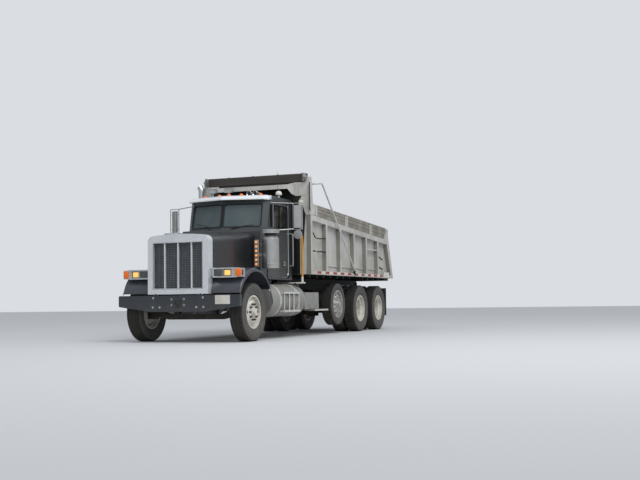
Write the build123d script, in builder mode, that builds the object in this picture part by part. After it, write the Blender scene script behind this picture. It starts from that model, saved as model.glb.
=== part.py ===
from build123d import *
import math
import os

os.makedirs("parts", exist_ok=True)

# A three-axle dump truck with a lift axle. Millimetres, +X forward, +Y to the driver's side, +Z up.
# The origin is on the ground, under the middle of the truck's length.

# Driving dimensions: the whole truck
front_reach = 698          # steer axle to the front face of the bumper
foot_end_x = 8110          # steer axle to the rear end of the body's floor
gate_gap = 8               # body to tailgate
gate_t = 120
rear_reach = foot_end_x + gate_gap + gate_t
steer_x = (rear_reach - front_reach) / 2
tandem_front = 5644        # steer axle to the first drive axle
tandem_gap = 1316          # between the two drive axles
lift_back = 4244           # steer axle to the lift axle

# Driving dimensions: wheels
tyre_r = 527               # rolling radius of the steer and drive tyres
tyre_w = 280
lift_tyre_r = 457
lift_tyre_w = 255
lift_axle_z = 636          # the lift axle is parked in its raised place
seat_r = 286               # bead seat of every rim
rim_w = 210
steer_tyre_y = 1185 - tyre_w / 2
dual_outer_y = 1236 - tyre_w / 2
dual_spacing = 343
lift_tyre_y = 1198 - lift_tyre_w / 2
tread_pitches = 30         # flats round a tyre, one of them on the ground
spindle_r = 40
run_gap = 0.3              # running clearance of a shaft in its bore, on the radius

# Driving dimensions: chassis
rail_top = 1070
rail_h = 270
rail_out = 430             # outer face of a frame rail from the middle
rail_flange = 90
rail_t = 8
kingpin_y = 930

# Driving dimensions: cab and hood
cab_half = 852
cab_back_x = 2480          # steer axle to the cab's back wall
cab_bottom = 1140
cab_wall = 50
cab_roof_z = 2780
door_front = 1300          # steer axle to the door's front edge, below the windshield
door_rear = 2310
door_gap = 8
cowl_half = 840
cowl_front = 985
hood_front = 518
hood_rear = 950
hood_skin = 12
grille_half = 609
grille_low = 861
grille_top = 1931
grille_front = 690

# Driving dimensions: dump body
bed_half = 1220
bed_wall = 100             # ribs and rails stand this far out from the side sheet
bed_front_x = 2616
bed_bottom = 1254
bed_rail_front_z = 2475    # top of the top rail at the front
bed_rail_rear_z = 2200     # and at the rear, because the rail slopes down
bed_rail_h = 110
rail_end_x = 7780          # the side's rear edge leans forward to here at the rail
tip_x = 7550               # the tipping hinge
tip_z = 1120
tip_r = 30
tip_angle = 48
board_front_z = 2708
board_rear_z = 2500
move_gap = 5               # between pieces that move past each other


def aft(distance):
    """X of a place this far behind the steer axle."""
    return steer_x - distance


def span(x0, x1, y0, y1, z0, z1, mode=Mode.ADD):
    """A box between two corners."""
    with Locations(((x0 + x1) / 2, (y0 + y1) / 2, (z0 + z1) / 2)):
        Box(abs(x1 - x0), abs(y1 - y0), abs(z1 - z0), mode=mode)


def rod_y(x, z, y0, y1, radius, mode=Mode.ADD):
    """A round bar across the truck."""
    with Locations(Location((x, (y0 + y1) / 2, z), (90, 0, 0))):
        Cylinder(radius, abs(y1 - y0), mode=mode)


def rod_z(x, y, z0, z1, radius, mode=Mode.ADD):
    """An upright round bar."""
    with Locations((x, y, (z0 + z1) / 2)):
        Cylinder(radius, abs(z1 - z0), mode=mode)


def rod_x(x0, x1, y, z, radius, mode=Mode.ADD):
    """A round bar along the truck."""
    with Locations(Location(((x0 + x1) / 2, y, z), (0, 90, 0))):
        Cylinder(radius, abs(x1 - x0), mode=mode)


def side_plane(y):
    """A plane seen from the side: its own x is X, its own y is Z. Extrusions by a minus amount go to +Y."""
    return Plane(origin=(0, y, 0), x_dir=(1, 0, 0), z_dir=(0, -1, 0))


def side_plate(points, y0, y1, mode=Mode.ADD):
    """A plate with a straight-edged outline in the side view, from y0 to y1."""
    with BuildSketch(side_plane(y0)) as outline:
        with BuildLine():
            Polyline(*points, close=True)
        make_face()
    extrude(outline.sketch, amount=y0 - y1, mode=mode)


def rounded_plate(points, radius, y0, y1, mode=Mode.ADD):
    """A side plate whose corners are rounded."""
    with BuildSketch(side_plane(y0)) as outline:
        with BuildLine():
            Polyline(*points, close=True)
        make_face()
        fillet(outline.vertices(), radius)
    extrude(outline.sketch, amount=y0 - y1, mode=mode)


def plan_prism(points, z0, z1, lean=0, mode=Mode.ADD):
    """A prism on a plan outline of distances back and half widths; it leans back as it rises."""
    right = [(aft(back), -half) for back, half in reversed(points) if half > 0]
    with BuildSketch(Plane.XY.offset(z0)) as outline:
        with BuildLine():
            Polyline(*[(aft(back), half) for back, half in points], *right, close=True)
        make_face()
    way = Vector(-lean, 0, 1)
    extrude(outline.sketch, amount=(z1 - z0) * way.length, dir=way.normalized(), mode=mode)


def bar_between(a, b, radius):
    """A round bar from one point to another."""
    way = Vector(*b) - Vector(*a)
    with BuildSketch(Plane(origin=a, z_dir=way)) as end:
        Circle(radius)
    extrude(end.sketch, amount=way.length)


def save(part, name):
    """Labels a finished piece and writes its file."""
    part.label = name
    export_step(part, f"parts/{name}.step")


# Tyres

def tyre_shape(outer_r, width, tread_w):
    """A tyre about the Y axis: plane bands between rings of flats, with its bore on the rim's seat."""
    half = width / 2
    bead_y = rim_w / 2 - 6
    belly_r = (seat_r + outer_r) / 2 + 6
    # half widths and apothems of the rings, once round the section
    section = [
        (-bead_y, seat_r), (-bead_y, seat_r + 22), (-half, belly_r), (-tread_w / 2, outer_r),
        (tread_w / 2, outer_r), (half, belly_r), (bead_y, seat_r + 22), (bead_y, seat_r),
    ]
    pitch = 2 * math.pi / tread_pitches
    rings = []
    for y, apothem in section:
        r = apothem / math.cos(pitch / 2)
        rings.append([(r * math.cos(k * pitch), y, r * math.sin(k * pitch)) for k in range(tread_pitches)])
    flats = []
    for ring, after in zip(rings, rings[1:] + rings[:1]):
        for k in range(tread_pitches):
            n = (k + 1) % tread_pitches
            flats.append(Face(Wire.make_polygon([ring[k], after[k], after[n], ring[n]])))
    with BuildPart() as shape:
        add(Solid(Shell(flats)))
    return shape.part


# Rims

rim_well_r = 255           # drop centre
rim_lip_r = 300
rim_t = 9
disc_t = 12
hub_r = 84
drum_r = 205
nut_pcd = 285.75
nut_count = 10
nut_r = 17
nut_h = 34
dish = 7                   # the disc bulges this far


def rim_barrel():
    """The rolled rim about the Y axis: lips, bead seats and drop centre."""
    lip_y = rim_w / 2 + 8
    with BuildSketch(Plane.XY) as profile:
        with BuildLine():
            Polyline(
                (seat_r - rim_t, -lip_y), (rim_lip_r, -lip_y), (rim_lip_r, -lip_y + 10),
                (seat_r, -lip_y + 12), (seat_r, -45), (rim_well_r, -25),
                (rim_well_r, 25), (seat_r, 45), (seat_r, lip_y - 12),
                (rim_lip_r, lip_y - 10), (rim_lip_r, lip_y), (seat_r - rim_t, lip_y),
                (seat_r - rim_t, 48), (rim_well_r - rim_t, 28),
                (rim_well_r - rim_t, -28), (seat_r - rim_t, -48),
                close=True,
            )
        make_face()
    revolve(profile.sketch, axis=Axis.Y)


def wheel_disc(face_y, root_y):
    """The dished disc: from the drop centre at root_y to the bolting face at face_y, bored for the hub."""
    face_r = nut_pcd / 2 + 32
    root_r = rim_well_r - rim_t
    mid_r = (face_r + root_r) / 2 + dish
    mid_y = root_y + (face_y - root_y) * 0.62
    half_t = disc_t / 2
    with BuildSketch(Plane.XY) as profile:
        with BuildLine():
            Polyline((hub_r, face_y + half_t), (hub_r, face_y - half_t), (face_r, face_y - half_t))
            ThreePointArc((face_r, face_y - half_t), (mid_r, mid_y - half_t), (root_r, root_y - disc_t))
            Line((root_r, root_y - disc_t), (root_r + 2, root_y + disc_t))
            ThreePointArc((root_r + 2, root_y + disc_t), (mid_r, mid_y + half_t), (face_r, face_y + half_t))
            Line((face_r, face_y + half_t), (hub_r, face_y + half_t))
        make_face()
    revolve(profile.sketch, axis=Axis.Y)


def hand_holes(y, count, radius, pcd):
    """Round holes through the disc."""
    with BuildSketch(side_plane(y - 120)) as holes:
        with PolarLocations(pcd / 2, count):
            Circle(radius)
    extrude(holes.sketch, amount=-240, mode=Mode.SUBTRACT)


def single_rim(face_y, hub_in, hub_out, cap_out, holes):
    """A single wheel's rim with its hub. Y is outward, zero at the tyre's middle."""
    with BuildPart() as shape:
        rim_barrel()
        wheel_disc(face_y, 30)
        hand_holes(face_y, *holes)
        rod_y(0, 0, hub_in, hub_out, hub_r)
        rod_y(0, 0, hub_out, cap_out, 62)
        rod_y(0, 0, hub_in, hub_in + 55, drum_r)
        with BuildSketch(side_plane(face_y)):
            with PolarLocations(nut_pcd / 2, nut_count):
                RegularPolygon(nut_r, 6)
        extrude(amount=-nut_h)
        rod_y(0, 0, hub_in - 1, hub_out - 12, spindle_r + run_gap, mode=Mode.SUBTRACT)
    return shape.part


def dual_rim(hub_in, hub_out, cap_out, holes):
    """Two rims bolted face to face on one hub. Y is outward, zero between the two tyres."""
    with BuildPart() as shape:
        for side in (-1, 1):
            with BuildPart(mode=Mode.PRIVATE) as one:
                rim_barrel()
                wheel_disc(-dual_spacing / 2 + disc_t / 2, -30)
                hand_holes(-dual_spacing / 2, *holes)
            turn = 0 if side > 0 else 180
            with Locations(Location((0, side * dual_spacing / 2, 0), (0, 0, turn))):
                add(one.part)
        rod_y(0, 0, hub_in, hub_out, hub_r)
        rod_y(0, 0, hub_out, cap_out, 80)
        rod_y(0, 0, hub_in, hub_in + 112, drum_r)
        with BuildSketch(side_plane(disc_t)):
            with PolarLocations(nut_pcd / 2, nut_count):
                RegularPolygon(nut_r, 6)
        extrude(amount=-nut_h)
        rod_y(0, 0, hub_in - 1, hub_out - 12, spindle_r + run_gap, mode=Mode.SUBTRACT)
    return shape.part


# number, radius and pitch circle of the hand holes
two_holes = (2, 36, 430)
ten_holes = (nut_count, 26, 400)
steer_tyre_shape = tyre_shape(tyre_r, tyre_w, 222)
lift_tyre_shape = tyre_shape(lift_tyre_r, lift_tyre_w, 205)
steer_rim_shape = single_rim(face_y=88, hub_in=-38, hub_out=118, cap_out=150, holes=two_holes)
lift_rim_shape = single_rim(face_y=88, hub_in=-38, hub_out=118, cap_out=150, holes=ten_holes)
dual_rim_shape = dual_rim(hub_in=-190, hub_out=70, cap_out=130, holes=two_holes)

# name, distance behind the steer axle, height, middle of the wheel, rim, tyre, tyres' places from the middle
dual_y = dual_outer_y - dual_spacing / 2
twin = (-dual_spacing / 2, dual_spacing / 2)
wheels = [
    ("steer", 0, tyre_r, steer_tyre_y, steer_rim_shape, steer_tyre_shape, (0,)),
    ("lift", lift_back, lift_axle_z, lift_tyre_y, lift_rim_shape, lift_tyre_shape, (0,)),
    ("drive1", tandem_front, tyre_r, dual_y, dual_rim_shape, steer_tyre_shape, twin),
    ("drive2", tandem_front + tandem_gap, tyre_r, dual_y, dual_rim_shape, steer_tyre_shape, twin),
]
for name, back, height, middle, rim_shape, tyre, places in wheels:
    for side_name, side in (("left", 1), ("right", -1)):
        turn = 0 if side > 0 else 180
        with BuildPart() as rim:
            with Locations(Location((aft(back), side * middle, height), (0, 0, turn))):
                add(rim_shape)
        save(rim.part, f"{name}_rim_{side_name}")
        with BuildPart() as tyres:
            for place in places:
                with Locations((aft(back), side * middle + place, height)):
                    add(tyre)
        save(tyres.part, f"{name}_tyre_{side_name}")

# Steering knuckles: ears over and under the beam's end, a web and the spindle

beam_end_r = 45
beam_end_low = 455
beam_end_high = 600
ear_t = 42
kingpin_r = 20
for side_name, side in (("left", 1), ("right", -1)):
    with BuildPart() as knuckle:
        ear_x = aft(0)
        ear_y = side * kingpin_y
        web_y = side * (kingpin_y + beam_end_r + 8)
        for low in (beam_end_low - 1 - ear_t, beam_end_high + 1):
            rod_z(ear_x, ear_y, low, low + ear_t, beam_end_r)
            span(ear_x - beam_end_r, ear_x + beam_end_r, ear_y, web_y, low, low + ear_t)
        low = beam_end_low - 1 - ear_t
        high = beam_end_high + 1 + ear_t
        span(ear_x - 55, ear_x + 55, web_y, web_y + side * 18, low, high)
        rod_z(ear_x, ear_y, low, high, kingpin_r)
        end_y = side * (steer_tyre_y + 95)
        rod_y(ear_x, tyre_r, web_y, end_y, spindle_r)
        span(ear_x - 190, ear_x - 40, ear_y - 20, ear_y + 20, low, low + 30)
    save(knuckle.part, f"knuckle_{side_name}")

# Front axle: a dropped beam, its bosses, and a leaf spring under each rail

rail_low = rail_top - rail_h
spring_z = 640
spring_y = rail_out - rail_flange / 2
with BuildPart() as front_axle:
    with BuildSketch(Plane.YZ.offset(aft(0) - 45)):
        with BuildLine():
            Polyline(
                (0, 400), (560, 400), (800, beam_end_low), (kingpin_y, beam_end_low),
                (kingpin_y, beam_end_high), (800, beam_end_high), (540, 500), (0, 500),
                close=True,
            )
        make_face()
    extrude(amount=90)
    rod_z(aft(0), kingpin_y, beam_end_low, beam_end_high, beam_end_r)
    rod_z(aft(0), kingpin_y, beam_end_low - 1, beam_end_high + 1, kingpin_r + run_gap, mode=Mode.SUBTRACT)
    span(aft(60), aft(-60), spring_y - 45, spring_y + 45, 500, spring_z - 30)
    side_plate(
        [(aft(700), spring_z + 70), (aft(150), spring_z - 20), (aft(-150), spring_z - 20),
         (aft(-540), spring_z + 60), (aft(-540), spring_z + 85), (aft(-150), spring_z + 25),
         (aft(150), spring_z + 25), (aft(700), spring_z + 95)],
        spring_y - 40, spring_y + 40)
    span(aft(60), aft(-60), spring_y - 42, spring_y + 42, spring_z - 35, spring_z - 15)
    span(aft(720), aft(670), spring_y - 40, spring_y + 40, spring_z + 60, rail_low)
    span(aft(-500), aft(-550), spring_y - 40, spring_y + 40, spring_z + 50, rail_low)
    mirror(about=Plane.XZ)
save(front_axle.part, "front_axle")

# Lift axle: a raised straight beam on trailing arms and air springs

lift_arm_y = 500
lift_drop = 110
with BuildPart() as lift_axle:
    with BuildSketch(Plane.YZ.offset(aft(lift_back) - 55)):
        with BuildLine():
            Polyline(
                (0, lift_axle_z - lift_drop - 55), (300, lift_axle_z - lift_drop - 55),
                (430, lift_axle_z - 58), (lift_tyre_y - 42, lift_axle_z - 58),
                (lift_tyre_y - 42, lift_axle_z + 58), (400, lift_axle_z + 58),
                (270, lift_axle_z - lift_drop + 55), (0, lift_axle_z - lift_drop + 55), close=True,
            )
        make_face()
    extrude(amount=110)
    rod_y(aft(lift_back), lift_axle_z, lift_tyre_y - 43, lift_tyre_y + 95, spindle_r)
    side_plate(
        [(aft(lift_back + 60), lift_axle_z - 70), (aft(lift_back - 650), lift_axle_z + 20),
         (aft(lift_back - 650), lift_axle_z + 110), (aft(lift_back + 60), lift_axle_z + 70)],
        lift_arm_y - 30, lift_arm_y + 30)
    span(aft(lift_back - 610), aft(lift_back - 690), rail_out, lift_arm_y + 30,
         lift_axle_z + 15, rail_top - 60)
    rod_z(aft(lift_back), lift_arm_y + 35, lift_axle_z + 50, rail_top - 130, 85)
    span(aft(lift_back + 90), aft(lift_back - 90), rail_out, lift_arm_y + 125, rail_top - 130, rail_top - 112)
    mirror(about=Plane.XZ)
save(lift_axle.part, "lift_axle")

# Drive axles on walking beams

beam_y = 500
diff_r = 185
pinion_out = 330           # axle to the face of the differential's nose
pinion_z = tyre_r + 90
mid_tandem = tandem_front + tandem_gap / 2
with BuildPart() as drive_axles:
    for back in (tandem_front, tandem_front + tandem_gap):
        rod_y(aft(back), tyre_r, 0, dual_y - 191, 62)
        rod_y(aft(back), tyre_r, dual_y - 192, dual_y + 55, spindle_r)
        with Locations((aft(back), 0, tyre_r)):
            Sphere(diff_r)
        rod_x(aft(back), aft(back - pinion_out), 0, pinion_z, 90)
        span(aft(back + 70), aft(back - 70), beam_y - 45, beam_y + 45, tyre_r - 110, tyre_r + 60)
    side_plate(
        [(aft(tandem_front + tandem_gap), tyre_r - 120), (aft(mid_tandem), tyre_r - 150),
         (aft(tandem_front), tyre_r - 120), (aft(tandem_front), tyre_r - 50),
         (aft(mid_tandem), tyre_r + 20), (aft(tandem_front + tandem_gap), tyre_r - 50)],
        beam_y - 40, beam_y + 40)
    rod_y(aft(mid_tandem), tyre_r - 60, 0, beam_y + 60, 50)
    side_plate(
        [(aft(mid_tandem + 90), tyre_r - 80), (aft(mid_tandem - 90), tyre_r - 80),
         (aft(mid_tandem - 220), rail_top - 60), (aft(mid_tandem + 220), rail_top - 60)],
        rail_out, rail_out + 25)
    mirror(about=Plane.XZ)
save(drive_axles.part, "drive_axles")

# Frame: two channel rails, cross members, the body's hinge and the hoist's brackets

frame_front = 505
horn_front = 600
horn_top = 846
frame_rear = tip_x + 120
hoist_foot_x = 3600
hoist_foot_z = 890
hoist_pin_r = 35
hoist_y = 200
cross_in = rail_out - rail_t
hood_pin_x = 684
hood_pin_z = 853
hood_pin_r = 5
hood_hinge_y = 450
# distance behind the steer axle, bottom and top of each cross member
cross_members = [
    (-460, 830, 1050),
    (2050, 920, 1050),
    (3150, 920, 1050),
    (4900, 800, 880),
    (6302, 920, 1050),
    (7630, 560, 1050),
]
# pintle hitch: a plate with four bolt holes and an upright horn
pintle_z = 620
plate_x = 7665
horn_r = 22
horn_back = 7900
pintle_w = 150
bolt_dx = 100
bolt_dz = 110
bolt_hole_r = 9
with BuildPart() as chassis_frame:
    span(aft(frame_rear), aft(-frame_front), cross_in, rail_out, rail_low, rail_top)
    for low in (rail_low, rail_top - rail_t):
        span(aft(frame_rear), aft(-frame_front), rail_out - rail_flange, rail_out, low, low + rail_t)
    for back, low, high in cross_members:
        span(aft(back + 35), aft(back - 35), 0, cross_in, low, high)
    # the tipping shaft in its two ears
    for ear in (rail_out, rail_out - rail_flange - 12):
        side_plate(
            [(aft(tip_x + 90), rail_low + 100), (aft(tip_x - 90), rail_low + 100),
             (aft(tip_x - 45), tip_z + 40), (aft(tip_x + 45), tip_z + 40)],
            ear, ear + 12)
    rod_y(aft(tip_x), tip_z, 0, rail_out + 20, tip_r)
    # the hoist's foot brackets inside the rails
    span(aft(hoist_foot_x + 70), aft(hoist_foot_x - 70), cross_in - 20, cross_in,
         hoist_foot_z - 60, rail_top - 60)
    rod_y(aft(hoist_foot_x), hoist_foot_z, cross_in - 22, cross_in + 2, hoist_pin_r + run_gap,
          mode=Mode.SUBTRACT)
    # straps that carry the hood's hinge pins over the bumper
    span(aft(-frame_front), aft(-horn_front), rail_out - 60, rail_out, rail_low, horn_top)
    span(aft(-horn_front), aft(-horn_front + 40), rail_out - 20, hood_hinge_y + 20, rail_low, horn_top)
    span(aft(-horn_front + 40), aft(-hood_pin_x), hood_hinge_y - 20, hood_hinge_y + 20,
         horn_top, horn_top + 10)
    rod_y(aft(-hood_pin_x), hood_pin_z, hood_hinge_y - 20, hood_hinge_y + 20, 7)
    rod_y(aft(-hood_pin_x), hood_pin_z, hood_hinge_y - 34, hood_hinge_y + 34, hood_pin_r)
    mirror(about=Plane.XZ)
    span(aft(plate_x + 25), aft(plate_x), -pintle_w / 2, pintle_w / 2, pintle_z - 90, pintle_z + 90)
    with Locations(Location((aft(plate_x + 12), 0, pintle_z), (0, 90, 0))):
        with GridLocations(bolt_dz, bolt_dx, 2, 2):
            Cylinder(bolt_hole_r, 26, mode=Mode.SUBTRACT)
    span(aft(horn_back + 30), aft(plate_x + 25), -28, 28, pintle_z - 60, pintle_z - 10)
    rod_z(aft(horn_back), 0, pintle_z - 12, pintle_z + 62, horn_r)
    span(aft(plate_x + 90), aft(plate_x + 25), -24, 24, pintle_z - 12, pintle_z + 70)
save(chassis_frame.part, "chassis_frame")

# Bumper: a formed channel whose ends are less deep, with the tow pocket in the middle

bumper_half = 1220
bumper_top = 841
bumper_end_low = 643
bumper_mid_low = 550
bumper_kink = 555
bumper_deep = 78
bumper_t = 8
bumper_face = front_reach - 8   # the bolt heads of the tow plate stand in front of it
tow_bore_r = 18
tow_pin_in = 38            # the drop pin's axis behind the bumper's face
tow_z = 720
tow_half_h = 32            # half the pocket's height
tow_shelf_t = 16
tow_bolts = (125, 52)      # from the pocket's middle, across and up
with BuildPart() as bumper:
    with BuildSketch(Plane.YZ.offset(aft(-bumper_face) - bumper_deep)) as face_sketch:
        with BuildLine():
            Polyline(
                (-bumper_half, bumper_end_low), (-bumper_kink, bumper_mid_low),
                (bumper_kink, bumper_mid_low), (bumper_half, bumper_end_low),
                (bumper_half, bumper_top), (-bumper_half, bumper_top), close=True,
            )
        make_face()
    extrude(amount=bumper_deep)
    fillet(bumper.edges().filter_by(Axis.X).group_by(Axis.Y)[0], 25)
    fillet(bumper.edges().filter_by(Axis.X).group_by(Axis.Y)[-1], 25)
    inside = offset(face_sketch.sketch, amount=-bumper_t, mode=Mode.PRIVATE)
    extrude(inside, amount=bumper_deep - bumper_t, mode=Mode.SUBTRACT)
    for y in (-rail_out, rail_out - 60):
        span(aft(-horn_front), aft(-bumper_face) - bumper_t, y, y + 60, bumper_mid_low + 60, bumper_top - 20)
    # the tow plate with its four bolts
    with BuildSketch(Plane.YZ.offset(aft(-bumper_face))):
        with Locations((0, tow_z)):
            RectangleRounded(2 * tow_bolts[0] + 44, 2 * tow_bolts[1] + 36, 18)
    extrude(amount=3)
    with BuildSketch(Plane.YZ.offset(aft(-bumper_face))):
        with Locations((0, tow_z)):
            with GridLocations(2 * tow_bolts[0], 2 * tow_bolts[1], 2, 2):
                RegularPolygon(11, 6)
    extrude(amount=front_reach - bumper_face)
    # the tow pocket: two shelves bored for a drop pin, which goes in through either flange
    for low in (tow_z - tow_half_h - tow_shelf_t, tow_z + tow_half_h):
        span(aft(-bumper_face) - bumper_deep, aft(-bumper_face), -62, 62, low, low + tow_shelf_t)
    span(aft(-bumper_face) - bumper_t - 1, aft(-front_reach) + 1, -50, 50,
         tow_z - tow_half_h, tow_z + tow_half_h, mode=Mode.SUBTRACT)
    pin_x = aft(-bumper_face) - tow_pin_in
    rod_z(pin_x, 0, tow_z - 60, tow_z + 60, tow_bore_r, mode=Mode.SUBTRACT)
    for flange in (bumper_mid_low, bumper_top - bumper_t):
        rod_z(pin_x, 0, flange - 1, flange + bumper_t + 1, tow_bore_r + 6, mode=Mode.SUBTRACT)
save(bumper.part, "front_bumper")

# Engine: one plain block with its mounts; gearbox and shafts behind it

engine_half = 320
with BuildPart() as engine:
    span(aft(900), aft(-260), -engine_half, engine_half, 760, 1620)
    span(aft(850), aft(0), -200, 200, 590, 760)
    for back in (250, 800):
        span(aft(back + 60), aft(back - 60), -cross_in, cross_in, 880, 960)
    # radiator on the rails, joined to the engine by its hose
    span(aft(-400), aft(-490), -465, 465, rail_top, 1835)
    rod_x(aft(-260), aft(-400), 120, 1500, 35)
save(engine.part, "engine")

shaft_front_z = 850
with BuildPart() as driveline:
    span(aft(1120), aft(900), -250, 250, 720, 1055)
    span(aft(1850), aft(1120), -170, 170, 720, 1020)
    bar_between((aft(1850), 0, shaft_front_z), (aft(tandem_front - pinion_out - 12), 0, pinion_z), 48)
    rod_x(aft(tandem_front - pinion_out), aft(tandem_front - pinion_out - 20), 0, pinion_z, 62)
    rear_pinion = tandem_front + tandem_gap - pinion_out
    rod_x(aft(rear_pinion), aft(tandem_front + diff_r), 0, pinion_z - 30, 40)
    rod_x(aft(rear_pinion), aft(rear_pinion - 20), 0, pinion_z - 30, 55)
save(driveline.part, "driveline")

# Fuel tanks, their straps and steps

tank_front = 790
tank_rear = 2350
tank_r = 312
tank_y = 880
tank_z = 730
with BuildPart() as tanks:
    rod_x(aft(tank_rear), aft(tank_front), tank_y, tank_z, tank_r)
    fillet(tanks.edges().filter_by(GeomType.CIRCLE), 22)
    with Locations(Location((aft(tank_rear - 210), tank_y, tank_z), (-35, 0, 0))):
        Cylinder(48, tank_r + 45, align=(Align.CENTER, Align.CENTER, Align.MIN))
    mirror(about=Plane.XZ)
save(tanks.part, "fuel_tanks")

strap_t = 6
step_out = 1215
with BuildPart() as tank_mounts:
    for back in (1130, 2010):
        with BuildSketch(Plane.YZ.offset(aft(back) - 30)):
            with Locations((tank_y, tank_z)):
                Circle(tank_r + strap_t)
        extrude(amount=60)
        span(aft(back) - 30, aft(back) + 30, rail_out, tank_y - tank_r + 60, tank_z - 120, rail_top - 70)
    rod_x(aft(tank_rear), aft(tank_front), tank_y, tank_z, tank_r, mode=Mode.SUBTRACT)
    for low, front, rear in ((505, 1240, 2050), (855, 1240, 2010)):
        span(aft(rear), aft(front), 1110, step_out, low, low + 30)
        for back in (front + 60, rear - 60):
            span(aft(back) - 12, aft(back) + 12, tank_y, 1120, low, low + 30)
    rod_x(aft(tank_rear), aft(tank_front), tank_y, tank_z, tank_r, mode=Mode.SUBTRACT)
    mirror(about=Plane.XZ)
save(tank_mounts.part, "tank_mounts")

box_front = 2410
box_rear = 3180
box_low = 540
box_high = 886
with BuildPart() as side_boxes:
    span(aft(box_rear), aft(box_front), 600, 1150, box_low, box_high)
    fillet(side_boxes.edges().filter_by(Axis.X).group_by(Axis.Y)[-1], 20)
    span(aft(box_front + 60), aft(box_front + 140), rail_out, 600, rail_low, box_high)
    span(aft(box_rear - 140), aft(box_rear - 60), rail_out, 600, rail_low, box_high)
    span(aft(box_front + 350), aft(3520), 1000, 1230, box_low - 32, box_low)
    mirror(about=Plane.XZ)
save(side_boxes.part, "side_boxes")

# Exhaust on the passenger's side: muffler, stack and turned-back tip

stack_x = 2440
stack_y = -1190
stack_r = 62
muffler_r = 110
stack_top = 3040
tip_bend = 150             # the tip turns outward on this radius
with BuildPart() as exhaust:
    rod_z(aft(stack_x), stack_y, 1290, 2380, muffler_r)
    rod_z(aft(stack_x), stack_y, 2380, stack_top, stack_r)
    with BuildSketch(Plane.XY.offset(stack_top)) as tip_end:
        with Locations((aft(stack_x), stack_y)):
            Circle(stack_r)
            Circle(stack_r - 4, mode=Mode.SUBTRACT)
    bend_axis = Axis((aft(stack_x), stack_y - tip_bend, stack_top), (1, 0, 0))
    revolve(tip_end.sketch, axis=bend_axis, revolution_arc=45)
    rod_z(aft(stack_x), stack_y, 1040, 1290, 50)
    span(aft(stack_x + 55), aft(stack_x + 5), -rail_out, stack_y, tank_z + tank_r + 8, 1100)
save(exhaust.part, "exhaust_stack")

# Mud flaps behind the rear wheels, on tubes from the frame

flap_x = 7620
flap_z = 985
flap_out = bed_half - 20
with BuildPart() as mud_flaps:
    rod_y(aft(flap_x), flap_z, rail_out + 12, flap_out, 18)
    span(aft(flap_x + 5), aft(flap_x - 5), 620, flap_out, 330, flap_z)
    mirror(about=Plane.XZ)
save(mud_flaps.part, "mud_flaps")

# Cab: floor, front with the windshield frame, back, roof

sill_t = 25
seat_base_z = 1500
seat_rear = 2290           # steer axle to the rear of the seats' cushions
shield_low_z = 2120        # foot of the windshield frame
shield_high_z = 2670
shield_lean = 0.21         # it leans back by this share of its height
shield_nose = 1010         # steer axle to the foot of the middle pillar
shield_side = 1208         # and to the foot of the corner pillars
shield_half = 765
pane_w = 748
pane_h = 460
pane_z = 2385              # the middle of the panes
pane_in = 25               # the glass lies this far behind the frame's face
pane_edge = 19             # from its outer edge to the corner pillar's face
pillar_x = door_front - door_gap
post_front = door_front - 33
post_rear = door_front - 15
post_out = cab_half - 9
hinge_x = door_front - 12
hinge_y = cab_half + 4
hinge_r = 11
hinge_pin_r = 6
hinge_h = 30
hinge_heights = (1380, 1900)
with BuildPart() as cab_floor:
    span(aft(door_front), aft(cowl_front + cab_wall), -cowl_half + cab_wall, cowl_half - cab_wall,
         cab_bottom, cab_bottom + cab_wall)
    span(aft(cab_back_x - cab_wall), aft(door_front), -cab_half + cab_wall, cab_half - cab_wall,
         cab_bottom, cab_bottom + cab_wall)
    for low_y in (-cab_half, cab_half - cab_wall):
        span(aft(cab_back_x - cab_wall), aft(door_front), low_y, low_y + cab_wall,
             cab_bottom, cab_bottom + sill_t)
    for y in (-450, 450):
        span(aft(seat_rear - 20), aft(seat_rear - 400), y - 200, y + 200, cab_bottom + cab_wall, seat_base_z)
    for back in (door_front - 50, cab_back_x - 130):
        for y in (-spring_y, spring_y):
            span(aft(back) - 50, aft(back) + 50, y - 40, y + 40, rail_top, cab_bottom)
save(cab_floor.part, "cab_floor")

# The windshield is a shallow V in plan: its two planes meet in the middle pillar and lean back
shield_sweep = shield_side - shield_nose
shield_long = math.hypot(shield_sweep, shield_half)
sweep_in = shield_sweep / shield_long * cab_wall
half_in = shield_half / shield_long * cab_wall
pillar_run = cab_half - shield_half
pillar_long = math.hypot(pillar_x - shield_side, pillar_run)
pillar_in = pillar_run / pillar_long * cab_wall


def pane(side, amount, mode=Mode.ADD):
    """One windshield pane's outline, extruded both ways from the glass plane."""
    along = Vector(-shield_sweep, side * shield_half, 0).normalized()
    lean = Vector(-shield_lean, 0, 1).normalized()
    across = along.cross(lean).normalized()
    skew = along.dot(lean)
    skew = skew / math.sqrt(1 - skew * skew)
    middle = (shield_long - pane_w / 2 - pane_edge) / shield_long
    back = shield_nose + shield_sweep * middle + shield_lean * (pane_z - shield_low_z)
    face = Vector(aft(back), side * shield_half * middle, pane_z)
    plane = Plane(origin=face - across * (side * pane_in), x_dir=along, z_dir=across)
    corners = []
    for u, v in ((-1, -1), (1, -1), (1, 1), (-1, 1)):
        up = v * pane_h / 2
        corners.append((u * pane_w / 2 + up * skew, up))
    with BuildSketch(plane) as outline:
        with BuildLine():
            Polyline(*corners, close=True)
        make_face()
        fillet(outline.vertices(), 35)
    extrude(outline.sketch, amount=amount, both=True, mode=mode)


nose = [(shield_nose, 0), (shield_side, shield_half), (pillar_x, cab_half)]
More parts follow.
